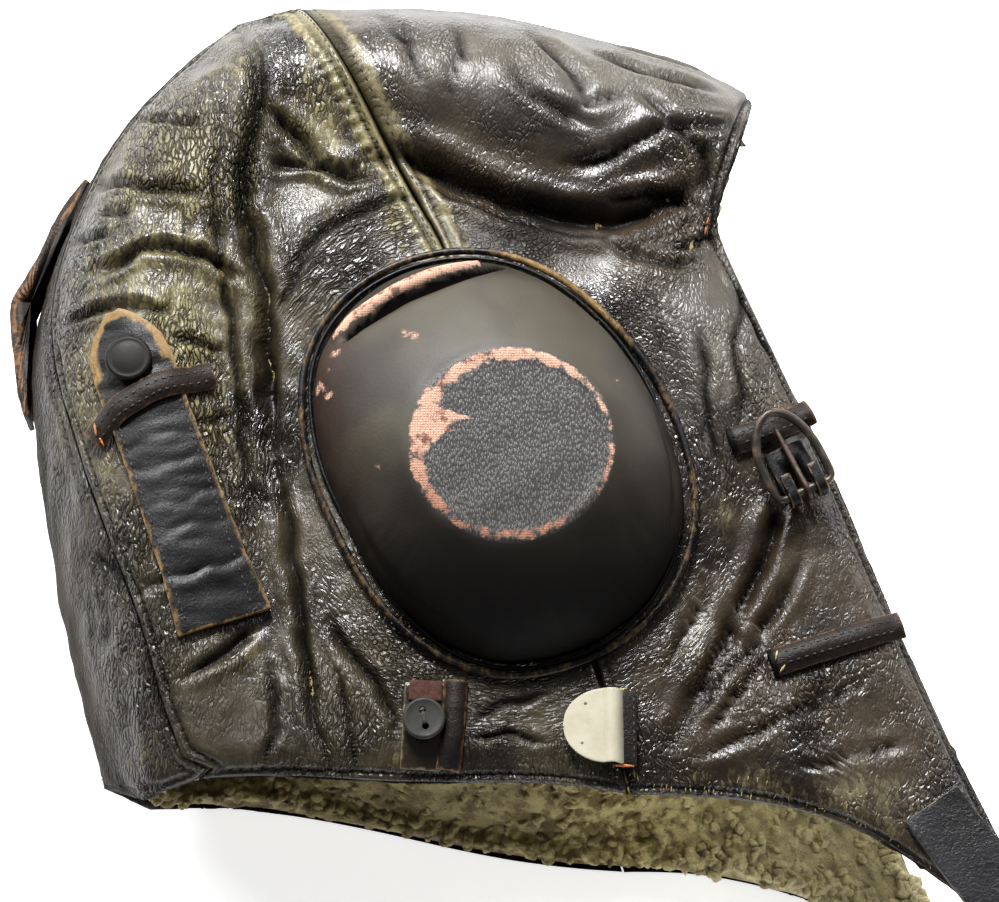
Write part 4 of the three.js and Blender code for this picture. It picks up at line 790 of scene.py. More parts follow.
def pulled(points, round_ear, ring):
    """Height of the pulled wrinkles, upright on the back and the cheek and round the ear beside the cup,
    and how strongly the leather is wrinkled, 0 to 1."""
    rear = mix_of(-58, -78, points[:, 0])
    crown = mix_of(96, 112, points[:, 1]) * mix_of(-72, -56, points[:, 0])
    lean = points.copy()
    on_cheek = points[:, 0] * 0.95 - points[:, 1] * 0.3
    lean[:, 0] = np.where(points[:, 0] > 20, on_cheek, points[:, 0] + 0.16 * points[:, 1])
    upright = ridged(lean, (5.5, 26, 14), 5.0)
    finer = ridged(lean, (3.4, 15, 9), 9.0)
    rings = ridged(round_ear, (4.6, 24, 20), 2.0)
    crumple = ridged(points, (13, 10, 12), 4.0)
    patch = mix_of(-0.35, 0.35, wander(points, (26, 32, 26), 43.0))
    uneven = 0.3 + 0.7 * patch
    strength = uneven * (0.4 + 0.6 * rear + 0.3 * mix_of(-40, -70, points[:, 1]) - 0.15 * crown)
    wrinkle = (0.6 * upright + 0.25 * finer) * strength * (1 - ring) + 0.5 * rings * ring * uneven
    wrinkle += 0.4 * crumple * (0.4 + 0.6 * rear)
    wrinkled = np.clip((0.25 + 0.75 * patch) * (0.6 + 0.4 * rear) * (1 - 0.3 * crown), 0, 1)
    return wrinkle, wrinkled


def sculpted_panel(name, material, levels):
    """One leather panel: the CAD wall's outer side, smoothed, then folded, wrinkled, rolled at its edges
    and given its thickness. Gives back its outer skin and its borders."""
    piece = smoothed(holder_of("leather_" + name, outer_sheet(name)), levels)
    move_to(piece, tucked(places(piece)))
    points = places(piece)
    out = facings(piece)
    # a short border round the ear's middle would lie under the cup, so it counts as no edge
    loops = border_loops(piece.data)
    seen = [points[loop] for loop in loops if np.hypot(*points[loop][:, :2].mean(0)) > 12 or len(loop) > 400]
    border, nearest = nearest_places(points, np.vstack(seen))
    along = np.concatenate([run_length(loop) for loop in seen])[nearest]
    right = mix_of(*RIGHT_SIDE, points[:, 2])
    reach, angle, outline = ear_reach(points)
    round_ear = np.column_stack([reach * outline, np.radians((angle + 102) % 360) * outline, points[:, 2]])
    ring = mix_of(1.42, 1.12, reach) * right

    level = np.zeros(len(points))
    sway = np.column_stack([wander(points, (9, 9, 9), 3.1), wander(points, (9, 9, 9), 17.7), level])
    swayed = points + 1.5 * sway
    relief, painted_shade = folded(swayed, right)
    wrinkle, wrinkled = pulled(points, round_ear, ring)
    relief += wrinkle - 0.35
    for x, y, radius, depth in PITS:
        pit = np.clip(1 - np.hypot(points[:, 0] - x, points[:, 1] - y) / radius, 0, 1) ** 0.6 * right
        relief -= depth * pit
        painted_shade = np.maximum(painted_shade, pit)

    # turned edges roll down into the seams, with a sewn channel beside them and puckers at the crown seam
    channel = bump(border, SEWN_INSET, 0.75)
    puffed = bump(border, 4.6, 1.2) + 0.8 * bump(border, 1.5, 0.7)
    seam = mix_of(13, 7, line_distance(points, CROWN_SEAM)[0]) * right
    calm = mix_of(0.4, 4.5 + 5.0 * mix_of(30, 60, points[:, 0]), border)
    relief = relief * calm - (0.4 + 0.5 * seam) * channel + (0.3 + 0.3 * seam) * puffed
    puckers = np.sin(along * math.tau / 4.2 + 2.5 * wander(points, (8, 8, 8), 23.0))
    relief += 0.4 * puckers * seam * bump(border, 5.4, 2.2)
    relief -= 0.7 * np.clip(1 - border / 1.2, 0, 1) ** 2 * mix_of(0.35, 0.8, np.abs(out[:, 2]))
    # the leather is held flat under its fittings and inside the cup's welt, and the lower half is plain
    clear = mix_of(1.0, 7.0, nearest_distance(points, ALL_FITTINGS))
    relief = np.where(relief > 0, relief * clear, relief * (0.35 + 0.65 * clear))
    relief = np.clip(relief, -5.0, 1.9)
    relief *= 0.25 + 0.75 * mix_of(20, 50, points[:, 2])
    relief *= 1 - mix_of(0.9, 0.8, reach)
    move_to(piece, points + out * relief[:, None])

    patchy = 0.5 + 0.5 * wander(points, (11, 14, 11), 31.0)
    rub = spread(swayed, RUBS) * right * (0.45 + 0.8 * patchy) * (0.55 + 0.6 * np.clip(wrinkle * 1.4, 0, 1))
    rub = np.maximum(rub, 0.3 * mix_of(2.2, 0.6, border) * patchy)
    rub = np.maximum(rub, seam * mix_of(9, 5, border) * (0.45 + 0.5 * patchy))
    # painted shade: darker in the folds and pits, in the sewn channels, and along the edges where they roll
    # down into the seams
    shaded_hollows = painted_shade + (0.45 + 0.4 * seam) * channel + mix_of(0.9, 0.2, border) * 0.8
    store(piece, "rub", np.clip(rub, 0, 1))
    # painted shade: darker and duller where the side turns away from the light above, and in the darker spots
    store(piece, "dull", np.maximum(mix_of(0.72, 0.2, out[:, 2]), spread(swayed, DARKER_SPOTS) * right))
    # painted soft sheen: greyer leather on the crown and beside the ear
    store(piece, "painted_sheen", spread(swayed, SHEEN_PATCHES) * right)
    store(piece, "painted_shade", np.clip(shaded_hollows, 0, 1))
    store(piece, "ringed", ring)
    store(piece, "wrinkled", wrinkled - 1.2 * seam * mix_of(6.5, 4.5, border))
    store(piece, "sewn", bump(border, SEWN_INSET, 0.55))
    store(piece, "along", along)
    store(piece, "round_ear", round_ear)
    skin = piece.data.copy()
    # the edges are skived thin
    body = piece.vertex_groups.new(name="body")
    for i, weight in enumerate(0.3 + 0.7 * mix_of(0.5, 5.0, border)):
        body.add([i], float(weight), "REPLACE")
    thickness = SKIN_THICKNESS * MM
    modified(piece, "SOLIDIFY", thickness=thickness, offset=-1, vertex_group="body", use_even_offset=False)
    finished(piece, [name], material)
    return skin, seen


skins = {}
borders = {}
for panel, (leather, leather_slot, levels) in PANELS.items():
    skins[panel], borders[panel] = sculpted_panel(panel, leather, levels)
ALL_BORDERS = [loop for panel in PANELS for loop in borders[panel]]

# Small rubbed spots on the dome: x, y, radius in mm
CUP_SPOTS = [
    (-51, 33, 2.6), (-53, 28, 1.6), (-30, 35, 2.4), (-27, 33, 2.0), (-54, 24, 3.0), (-52, 20, 1.8),
    (-37, -5, 1.6), (-38, 2, 1.2), (30, 21, 1.0), (-50, 42, 1.8),
]
# Worn band at the edge of the disc: angle in degrees, inner and outer radius in mm, how bare
BARE_BAND = [
    (0, 27.6, 28.9, 0.56), (30, 26.9, 28.6, 0.62), (60, 25.6, 28.4, 0.78), (90, 24.8, 28.4, 0.9),
    (135, 24.8, 28.6, 0.9), (180, 24.4, 29.0, 0.9), (215, 25.4, 29.0, 0.72), (250, 25.8, 29.0, 0.48),
    (275, 25.4, 28.8, 0.6), (305, 25.6, 28.6, 0.46), (335, 27.2, 28.8, 0.4),
]
# Torn flap beside the band, a triangle: x, y in mm
TORN_FLAP = [(-26, 13), (-12.8, 7.8), (-25, -3)]
# Height of each cup's disc, in mm
DISC_HEIGHT = {"ear_cup_right": 123, "ear_cup_left": 0}
# Slack lip over the dome's top left, and the crevice under it: x, y in mm
LIP_LINE = [(-50.5, 38.5), (-46, 43.6), (-32.5, 52.2), (-22, 57.2), (-9.5, 61)]
CREVICE_LINE = [(-48.5, 36.5), (-43.5, 40.6), (-30.5, 48.9), (-19.5, 53.8), (-8.5, 58.2), (-2, 60.5)]


def along_line(points, line, width, fullness):
    """How near each point is to a line that swells in its middle. width: half of it there, in mm."""
    away, share = line_distance(points, line)
    return away / (0.5 + width * np.sin(np.pi * np.clip(share, 0, 1)) ** fullness)


def inside_flap(points):
    """Share from 0 to 1 that a point lies inside the torn flap."""
    inside = np.ones(len(points))
    for (ax, ay), (bx, by) in zip(TORN_FLAP, TORN_FLAP[1:] + TORN_FLAP[:1]):
        cross = (bx - ax) * (points[:, 1] - ay) - (by - ay) * (points[:, 0] - ax)
        inside = np.minimum(inside, mix_of(0.3, -0.3, cross / math.hypot(bx - ax, by - ay)))
    return inside


def ear_cup(node, worn, levels):
    """A moulded ear cup: dome, flat disc with a proud rim, a slack fold at its top, and its wear."""
    piece = smoothed(holder_of("moulded_" + node, outer_sheet(node)), levels)
    points = places(piece)
    out = facings(piece)
    radius = np.hypot(points[:, 0], points[:, 1])
    reach, angle, outline = ear_reach(points)
    turns, *edges = zip(*BARE_BAND)
    inner, outer, bareness = (np.interp(angle, turns, edge, period=360) for edge in edges)
    top = np.abs(points[:, 2] - DISC_HEIGHT[node]) < 3.2
    on_disc = mix_of(DISC_RADIUS + 0.6, DISC_RADIUS - 0.6, radius) * top
    relief = 0.45 * bump(radius, 27, 1.5) * top - 0.5 * np.clip(1 - radius / 25, 0, 1) * top
    relief += 0.5 * wander(points, (26, 26, 26), 8.0) * (1 - on_disc) + 0.22 * wander(points, (9, 9, 9), 12.0)
    upper = mix_of(40, 60, points[:, 2])
    lip = np.exp(-(along_line(points, LIP_LINE, 1.7, 0.6) ** 4)) * worn * upper
    gap = np.exp(-(along_line(points, CREVICE_LINE, 1.5, 0.5) ** 2)) * worn * upper
    relief += 1.2 * lip - 2.4 * gap
    # a slack fold runs up each side of the dome's foot
    slack = np.sin(np.pi * np.clip((angle - 330) % 360 / 60, 0, 1))
    slack += np.sin(np.pi * np.clip((angle - 195) / 70, 0, 1))
    relief -= 1.1 * bump(reach, 0.86, 0.02) * np.clip(slack, 0, 1)
    # fine serrations along the worn band, like broken threads
    round_disc = np.column_stack([angle * 0.5, radius * 0.1, np.zeros(len(points))])
    radius = radius + 0.5 * ridged(round_disc, (0.9, 9, 9), 3.0)
    # pulled lines run from the disc down the lower flank
    spokes = ridged(np.column_stack([angle * 0.9, radius, points[:, 2]]), (5, 40, 40), 6.0)
    relief += 0.25 * spokes * mix_of(32, 44, radius) * mix_of(-10, -35, points[:, 1])
    relief *= mix_of(0.95, 0.9, reach)
    move_to(piece, points + out * relief[:, None])
    bare = bareness * mix_of(-0.8, 0.8, radius - inner) * mix_of(0.8, -0.8, radius - outer) * 0.92
    for x, y, size in CUP_SPOTS:
        away = np.hypot(points[:, 0] - x, points[:, 1] - y) / size
        bare = np.maximum(bare, 0.62 * np.clip(1.2 - away, 0, 1))
    bare = np.maximum(bare, lip * 0.95)
    bare = np.maximum(bare, inside_flap(points) * top)
    store(piece, "bare", bare * worn)
    store(piece, "disc", on_disc)
    # painted shade: the crevice under the slack lip, and the dome's foot beside the welt
    store(piece, "painted_shade", np.clip(gap * 2.4 + mix_of(0.905, 0.925, reach) * 0.6, 0, 1))
    modified(piece, "SOLIDIFY", thickness=1.3 * MM, offset=-1)
    finished(piece, [node], CUP_CLOTH)


def apart_at(turn):
    """Share from 0 to 1: the welt's two cords part at its lower left and its right side."""
    lower_left = math.sin(math.radians((turn - 150) * 1.6)) if 150 < turn < 262 else 0.0
    off = (turn - 355 + 180) % 360 - 180
    right_side = math.cos(math.radians(off * 1.5)) if abs(off) < 60 else 0.0
    return max(0.0, lower_left, right_side)


def ring_cord(name, node, shift, gap, drop, thickness, worn_share):
    """A rolled cord that follows the middle of an ear welt. shift: mm out from it; gap: mm further in
    where the two cords part; drop: mm down; thickness: its radius in mm."""
    flat = places(NODES[node])
    angle = np.degrees(np.arctan2(flat[:, 1], flat[:, 0])) % 360
    side = -1 if node.endswith("left") else 1
    curve = bpy.data.curves.new(name, "CURVE")
    curve.dimensions = "3D"
    spline = curve.splines.new("NURBS")
    steps = 40
    spline.points.add(steps - 1)
    for i in range(steps):
        turn = 360 * i / steps
        near = np.abs((angle - turn + 180) % 360 - 180) < 4.6
        middle = flat[near].mean(0)
        reach = math.hypot(middle[0], middle[1])
        grow = (reach + shift - gap * apart_at(turn)) / reach
        height = middle[2] - side * drop
        spline.points[i].co = (middle[0] * grow * MM, middle[1] * grow * MM, height * MM, 1)
    spline.use_cyclic_u = True
    spline.order_u = 4
    spline.resolution_u = 8
    curve.bevel_depth = thickness * MM
    curve.bevel_resolution = 3
    rod = bpy.data.objects.new(name, curve)
    bpy.context.scene.collection.objects.link(rod)
    mesh = bpy.data.meshes.new_from_object(rod.evaluated_get(bpy.context.evaluated_depsgraph_get()))
    bpy.data.objects.remove(rod)
    piece = bpy.data.objects.new(name, mesh)
    bpy.context.scene.collection.objects.link(piece)
    points = places(piece)
    turns = np.degrees(np.arctan2(points[:, 1], points[:, 0])) % 360
    rub = worn_share * (0.5 + 0.5 * wander(points, (14, 14, 14), 6.0))
    rub += 0.9 * worn_share * mix_of(44, 56, turns) * mix_of(98, 88, turns)
    store(piece, "rub", np.clip(rub, 0, 1))
    move_to(piece, points + facings(piece) * (0.1 * wander(points, (2.2, 2.2, 2.2), 3.0))[:, None])
    return piece


# the left cup lies on the table: less worn, and with fewer faces
for side_name, worn, levels in (("right", 1.0, 3), ("left", 0.35, 2)):
    ear_cup("ear_cup_" + side_name, worn, levels)
    welt = "ear_welt_" + side_name
    outer_cord = ring_cord("welt_cord_" + side_name, welt, 0.75, 0.0, 0.0, 1.1, 0.5)
    finished(outer_cord, [welt], STRAP_LEATHER)
    inner_cord = ring_cord("welt_inner_cord_" + side_name, welt, -1.3, 2.0, 0.6, 0.6, 0.1)
    finished(inner_cord, [], STRAP_LEATHER)


def joined_tree(meshes):
    """One search tree of several meshes, in metres."""
    corners = []
    faces = []
    for mesh in meshes:
        base = len(corners)
        corners.extend(v.co.copy() for v in mesh.vertices)
        faces.extend([base + i for i in p.vertices] for p in mesh.polygons)
    return BVHTree.FromPolygons(corners, faces)


SKIN = joined_tree(list(skins.values()))


def height_above(tree, x, y, fallback):
    """Height of the topmost surface at a place seen from above, in mm."""
    hit = tree.ray_cast(Vector((x * MM, y * MM, 0.2)), Vector((0, 0, -1)))[0]
    return hit.z / MM if hit is not None and hit.z / MM > fallback - 25 else fallback


def eased(grid, rounds):
    """Evens out a grid of heights."""
    for _ in range(rounds):
        padded = np.pad(grid, 1, mode="edge")
        grid = (padded[:-2, 1:-1] + padded[2:, 1:-1] + padded[1:-1, :-2] + padded[1:-1, 2:] + 2 * grid) / 6
    return grid


def laid_strap(
    name, line, widths, thickness, lift, below, crown, wrinkle, cross_folds=(), raw_end=0.0, open_end=0.0
):
    """A strap laid on what is below it: a grid that follows the line and takes its height from below.
    widths: share of its length and width there. cross_folds: share and depth of folds across it.
    raw_end: share of its length with a broad bare edge. open_end: how strongly painted shade darkens its
    first end, where a loop opens."""
    corners = np.asarray(line, dtype=float)
    lengths = np.hypot(*(corners[1:] - corners[:-1]).T)
    done = np.concatenate([[0], lengths.cumsum()])
    total = done[-1]
    across = 12
    steps = max(6, int(total / 1.1))
    shares = np.linspace(0, 1, steps + 1)
    middle = np.column_stack([np.interp(shares * total, done, corners[:, i]) for i in (0, 1)])
    for _ in range(6 if len(line) > 2 else 0):
        middle[1:-1] = (middle[:-2] + middle[2:] + 2 * middle[1:-1]) / 4
    along = np.gradient(middle, axis=0)
    along /= np.hypot(*along.T)[:, None]
    half = np.interp(shares, [w[0] for w in widths], [w[1] for w in widths]) / 2
    shape = bmesh.new()
    rub_layer = shape.verts.layers.float.new("rub")
    painted_shade_layer = shape.verts.layers.float.new("painted_shade")
    bmesh.ops.create_grid(shape, x_segments=across, y_segments=steps, size=0.5)
    rows = {}
    for vert in shape.verts:
        i = int(round((vert.co.x + 0.5) * across))
        j = int(round((vert.co.y + 0.5) * steps))
        rows[i, j] = vert
    heights = np.zeros((across + 1, steps + 1))
    spots = np.zeros((across + 1, steps + 1, 2))
    base = height_above(below, *middle[steps // 2], 90)
    for (i, j) in rows:
        shift = (2 * i / across - 1) * half[j]
        spots[i, j] = middle[j] + shift * np.array([along[j][1], -along[j][0]])
        heights[i, j] = height_above(below, *spots[i, j], base)
    heights = eased(heights, 14)
    for (i, j), vert in rows.items():
        side = 1 - abs(2 * i / across - 1)
        rise = crown * (1 - (1 - side) ** 2.4)
        x, y = spots[i, j]
        fold = wrinkle * noise.noise(Vector((x / 9, y / 2.6, 3.3 + len(name))))
        for share, depth in cross_folds:
            bend = shares[j] + 0.012 * math.sin(5 * side + 40 * share)
            fold -= depth * math.exp(-(((bend - share) * total / 1.3) ** 2))
            fold += 0.6 * depth * math.exp(-(((bend - share) * total / 1.6 - 1.5) ** 2))
        vert.co = Vector((x, y, heights[i, j] + lift + rise + fold * side**0.3)) * MM
        away = min(side * half[j], shares[j] * total, (1 - shares[j]) * total)
        raw = float(mix_of(raw_end, raw_end * 0.7, shares[j])) if raw_end else 0.0
        vert[rub_layer] = float(mix_of(0.8 + 2.4 * raw, 0.15 + 1.9 * raw, away)) * (0.6 + 0.4 * raw)
        # painted shade inside the strap's open first end
        vert[painted_shade_layer] = open_end * float(mix_of(2.4, 1.2, shares[j] * total))
    piece = holder_of(name, shape)
    modified(piece, "SOLIDIFY", thickness=thickness * MM, offset=1)
    return eased_edges(piece, 0.32)


def sharp_places(shape, angle):
    """Points along the sharp edges of a shape, in mm."""
    found = []
    for edge in shape.edges:
        if edge.calc_face_angle(0) > angle:
            a, b = (v.co / MM for v in edge.verts)
            found += [a.lerp(b, k / 4) for k in range(5)]
    return [tuple(p) for p in found]


def softened(name, node, material, bevel, levels, wrinkle=0.0, wear=0.7, body="helmet"):
    """A CAD solid with its edges rounded, and worn along them."""
    copy = merged_copy(node)
    sharp = sharp_places(copy, math.radians(50))
    bmesh.ops.dissolve_limit(copy, angle_limit=math.radians(1.5), verts=copy.verts, edges=copy.edges)
    bmesh.ops.join_triangles(copy, faces=copy.faces, angle_face_threshold=0.5, angle_shape_threshold=0.7)
    piece = holder_of(name, copy)
    if bevel:
        eased_edges(piece, bevel, angle=45)
    modified(piece, "SUBSURF", levels=levels, render_levels=levels)
    points = places(piece)
    if sharp:
        store(piece, "rub", wear * mix_of(0.7, 0.15, nearest_distance(points, sharp)))
    if wrinkle:
        move_to(piece, points + facings(piece) * (wrinkle * wander(points, (7, 3, 7), 5.0))[:, None])
    return finished(piece, [node], material, body)


def even(width):
    """A strap's widths where they are the same at both ends."""
    return [(0, width), (1, width)]


# Goggle strap behind the ear, pointed at its top, and the keeper over it
goggle = laid_strap(
    "goggle_strap_pad", [(-115.5, 49), (-81, -44)],
    [(0, 3), (0.03, 11), (0.07, 17.5), (0.12, 22), (0.2, 24), (0.34, 23), (0.5, 23), (0.82, 24.5), (1, 27.5)],
    1.8, 0.5, SKIN, 0.2, 0.5, raw_end=0.24,
    cross_folds=((0.83, 0.8), (0.62, 0.3), (0.5, 0.35), (0.7, 0.3), (0.42, 0.3)),
)
finished(goggle, ["goggle_strap"], STRAP_LEATHER)
OVER_GOGGLE = joined_tree(list(skins.values()) + [goggle.data])
KEEPER_LINE = [(-120.5, 10.5), (-113, 18.5), (-102, 25), (-86, 30.5)]
keeper = laid_strap("goggle_strap_keeper", KEEPER_LINE, even(6.6), 1.4, 0.3, OVER_GOGGLE, 1.3, 0.3)
finished(keeper, ["strap_keeper"], TAPE_LEATHER)

# The two loops at the face edge
UPPER_LINE = [(62.5, 9.2), (72, 12), (86.5, 19.5)]
upper = laid_strap("face_loop_upper", UPPER_LINE, even(6.8), 1.2, 0.4, SKIN, 1.4, 0.4, open_end=1.0)
finished(upper, ["upper_loop"], TAPE_LEATHER)
LOWER_LINE = [(73, -55.5), (90, -50.5), (110.5, -44)]
lower = laid_strap(
    "face_loop_lower", LOWER_LINE, [(0, 6.8), (1, 6.5)], 1.2, 0.4, SKIN, 1.6, 0.3, open_end=1.0
)
finished(lower, ["lower_loop"], TAPE_LEATHER)

# Below the ear: the button's patch with a bit of red tape, and the rolled strip beside it
PATCH_LINE = [(-24.2, -61.5), (-25.5, -86)]
patch = laid_strap("button_cloth_patch", PATCH_LINE, even(11.5), 0.7, 0.4, SKIN, 0.1, 0.4)
finished(patch, ["button_patch"], FRONT_LEATHER)
ROLLED_LINE = [(-15.6, -61.0), (-15.9, -68), (-16.6, -77), (-17.9, -86.3)]
ROLLED_WIDTHS = [(0, 5.4), (0.1, 4.8), (1, 5.2)]
rolled = laid_strap("rolled_loop_strip", ROLLED_LINE, ROLLED_WIDTHS, 1.2, 0.3, SKIN, 1.8, 0.15)
tape = laid_strap("red_wool_tape", [(-24.0, -61.0), (-24.3, -66.8)], even(9.2), 0.7, 1.3, SKIN, 0.1, 0.3)
finished(tape, [], RED_CLOTH)


def stitch(shape, spot, along, up, length=2.0, width=0.5, rise=0.3):
    """One thread stitch: a small flattened bead, laid along the seam."""
    along = (along - up * along.dot(up)).normalized()
    turn = Matrix((along, up.cross(along), up)).transposed().to_4x4()
    stretch = Matrix.Diagonal((length / 2, width / 2, rise / 2, 1))
    laid = Matrix.Translation(spot) @ turn @ stretch
    bmesh.ops.create_uvsphere(shape, u_segments=6, v_segments=4, radius=MM, matrix=laid)


def spun(name, outline, centre, turns=40):
    """A round part: its outline, as radius and height in mm, spun about an upright line."""
    shape = bmesh.new()
    verts = [shape.verts.new((radius * MM, 0, height * MM)) for radius, height in outline]
    edges = [shape.edges.new(pair) for pair in zip(verts, verts[1:])]
    around = {"cent": (0, 0, 0), "axis": (0, 0, 1), "angle": math.tau, "steps": turns, "use_merge": True}
    bmesh.ops.spin(shape, geom=verts + edges, **around)
    bmesh.ops.remove_doubles(shape, verts=shape.verts, dist=1e-6)
    bmesh.ops.recalc_face_normals(shape, faces=shape.faces)
    bmesh.ops.translate(shape, verts=shape.verts, vec=centre)
    return holder_of(name, shape)


def foot_of(node):
    """Middle of a node's underside."""
    low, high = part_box(node)
    return Vector(((low.x + high.x) / 2, (low.y + high.y) / 2, low.z))


# Round parts' outlines, as radius and height in mm
CAP_OUTLINE = [
    (0, 0), (6.2, 0), (6.7, 0.3), (6.8, 0.9), (6.65, 1.5), (6.3, 1.9), (5.9, 2.05), (5.5, 2.0), (5.1, 1.95),
    (4.4, 2.1), (3.4, 2.25), (2.2, 2.35), (1.1, 2.4), (0, 2.4),
]
BUTTON_OUTLINE = [
    (0, 0.3), (4.0, 0.2), (5.5, 0.5), (6.0, 1.1), (5.9, 1.7), (5.5, 2.0), (5.1, 1.98), (4.7, 1.85),
    (3.4, 1.75), (0, 1.7),
]
# From the button's middle to one of its holes, x and y in mm
HOLE_AWAY = Vector((0.45, -2.3, 0))

finished(spun("press_cap", CAP_OUTLINE, foot_of("snap_cap")), ["snap_cap"], CAP_METAL)
softened("d_buckle_frame", "buckle_frame", WORN_ENAMEL, 0, 2, body="buckle")
softened("buckle_prong_wire", "buckle_prong", COPPER, 0, 2)
softened("buckle_leather_tab", "buckle_tab", STRAP_LEATHER, 0.4, 1)


def d_hook():
    """The cream D plate: bent from one sheet, with a roll along its straight edge."""
    low, high = (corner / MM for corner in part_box("mask_hook"))
    left, right, top = low.x, high.x, high.z
    middle, half = (low.y + high.y) / 2, (high.y - low.y) / 2
    shape = bmesh.new()
    bmesh.ops.create_grid(shape, x_segments=34, y_segments=26, size=0.5)
    for vert in shape.verts:
        share = vert.co.x + 0.5
        x = left + (right - left) * share
        reach = min(1, (x - left) / 12.2)
        height = half * math.sqrt(max(0.0, 1 - (1 - reach) ** 2))
        roll = 0.5 + 0.5 * math.cos(math.pi * min(1.0, abs(x - (right - 2.3)) / 3.0))
        drop = 1.6 * max(0.0, (x - (right - 1.6)) / 1.6) ** 2
        vert.co = Vector((x, middle + 2 * vert.co.y * max(height, 0.3), top - 2.3 + 1.1 * roll - drop)) * MM
    piece = holder_of("cream_d_hook", shape)
    modified(piece, "SOLIDIFY", thickness=1.1 * MM, offset=1)
    eased_edges(piece, 0.28, segments=3)
    finished(piece, ["mask_hook"], CREAM_PAINT)


d_hook()
hook_strip = softened("hook_sewn_strip", "hook_strip", TAPE_LEATHER, 0.3, 1, wear=0.1)
finished(rolled, ["cord_loop"], TAPE_LEATHER)


def two_hole_button():
    """A turned button with a raised rim and two drilled holes, tied down with dark thread."""
    foot = foot_of("button")
    piece = spun("two_hole_button", BUTTON_OUTLINE, foot, 48)
    for turn in (-1, 1):
        drill = bmesh.new()
        spot = Matrix.Translation(foot + HOLE_AWAY * turn * MM)
        rod = {"cap_ends": True, "segments": 20, "radius1": MM, "radius2": MM, "depth": 8 * MM}
        bmesh.ops.create_cone(drill, matrix=spot, **rod)
        tool = holder_of("drill", drill)
        modified(piece, "BOOLEAN", object=tool, operation="DIFFERENCE", solver="EXACT")
        bpy.data.objects.remove(tool)
    eased_edges(piece, 0.12)
    finished(piece, ["button"], HORN)
    piece.data.set_sharp_from_angle(angle=math.radians(45))
    ties = bmesh.new()
    for k in (-1, 0, 1):
        spot = foot + Vector((0.3 * k, 0.1 * k, 1.75)) * MM
        stitch(ties, spot, HOLE_AWAY, Vector((0, 0, 1)), 4.4, 0.5, 0.7)
    finished(holder_of("button_ties", ties), [], DARK_THREAD)


two_hole_button()
softened("rear_strap", "back_strap", TAPE_LEATHER, 0.4, 1, 0.3, 1.0)
softened("rear_strap_stud", "back_strap_stud", NICKEL, 0.3, 1)
softened("chin_strap_near", "chin_strap_right", CHIN_LEATHER, 0.45, 2, 0.35)
softened("chin_strap_far", "chin_strap_left", CHIN_LEATHER, 0.45, 2, 0.35)
softened("chin_press_button", "chin_press_stud", CAP_METAL, 0.4, 1)


def sheepskin():
    """The lining: the CAD shell smoothed, kept clear of the leather, and curled where there is room.
    Gives back its points, its facings, its room and how far each point is from the leather's rim."""
    shape = merged_copy("fleece_lining")
    bmesh.ops.join_triangles(shape, faces=shape.faces, **TO_SQUARES)
    lining = holder_of("sheepskin_lining", shape)
    modified(lining, "SUBSURF", levels=2, render_levels=2)
    move_to(lining, tucked(places(lining)))
    points = places(lining)
    out = facings(lining)
    rim_away = nearest_distance(points, np.vstack(ALL_BORDERS))
    clearance = SKIN_THICKNESS + 1.2 + 2.0 * mix_of(8, 14, rim_away)
    for i, point in enumerate(points):
        spot, normal, _, _ = SKIN.find_nearest(Vector(point * MM))
        above = (Vector(point) - spot / MM).dot(normal)
        if abs(above) < 7 and above > -clearance[i]:
            points[i] -= np.array(normal) * (clearance[i] + above) * mix_of(2.5, 6, rim_away[i])
    skin_away = np.array([SKIN.find_nearest(Vector(p * MM))[3] / MM for p in points])
    room = np.clip(skin_away - SKIN_THICKNESS - 1.5, 0, 2.2)
    curl = 0.5 + 0.5 * wander(points, (5.5, 5.5, 5.5), 7.0) + 0.35 * wander(points, (2.6, 2.6, 2.6), 19.0)
    move_to(lining, points + out * (room * np.clip(curl, -0.2, 1.2) - 0.3 * (room > 0))[:, None])
    # painted shade deep between the curls, and painted shadow near the leather's hem
    hem = np.vstack([loop[loop[:, 2] > 60] for loop in ALL_BORDERS])
    under_hem = mix_of(16, 4, nearest_distance(points, hem))
    store(lining, "painted_shade", np.clip(0.8 - 1.3 * curl + 0.6 * under_hem, 0, 1))
    finished(lining, ["fleece_lining"], FLEECE)
    return points, out, room, rim_away


lining_points, lining_out, room, rim_away = sheepskin()

# Tufts of wool where the lining shows, at the neck and inside the face, away from the rims
TUFTS = 2100
TUFT_BATCHES = 21
draws = random.Random(11)
over_brow = lining_points[:, 1] > 20
at_opening = (lining_points[:, 1] < -45) | (lining_points[:, 0] > 52)
shows = (room > 1.9) & (rim_away > 5 + 4 * over_brow) & (lining_points[:, 2] < 74) & at_opening
candidates = np.flatnonzero(shows)


def tuft_batch():
    """Some of the tufts: small lumps, each turned and stretched its own way."""
    part = bmesh.new()
    for _ in range(TUFTS // TUFT_BATCHES):
        at = int(candidates[draws.randrange(len(candidates))])
        facing = Vector(lining_out[at])
        turn = facing.to_track_quat("Z", "Y").to_matrix().to_4x4()
        turn = turn @ Matrix.Rotation(draws.uniform(0, math.tau), 4, "Z")
        turn = turn @ Matrix.Rotation(draws.uniform(-0.7, 0.7), 4, "X")
        size = draws.uniform(1.1, 2.0)
        sides = [size * draws.uniform(*span) for span in ((0.6, 1.0), (1.0, 1.7), (0.7, 1.1))]
        centre = Vector(lining_points[at]) + facing * draws.uniform(-0.2, 0.9)
        placed = Matrix.Translation(centre * MM) @ turn @ Matrix.Diagonal((*sides, 1))
        bmesh.ops.create_uvsphere(part, u_segments=8, v_segments=6, radius=MM, matrix=placed)
    return part


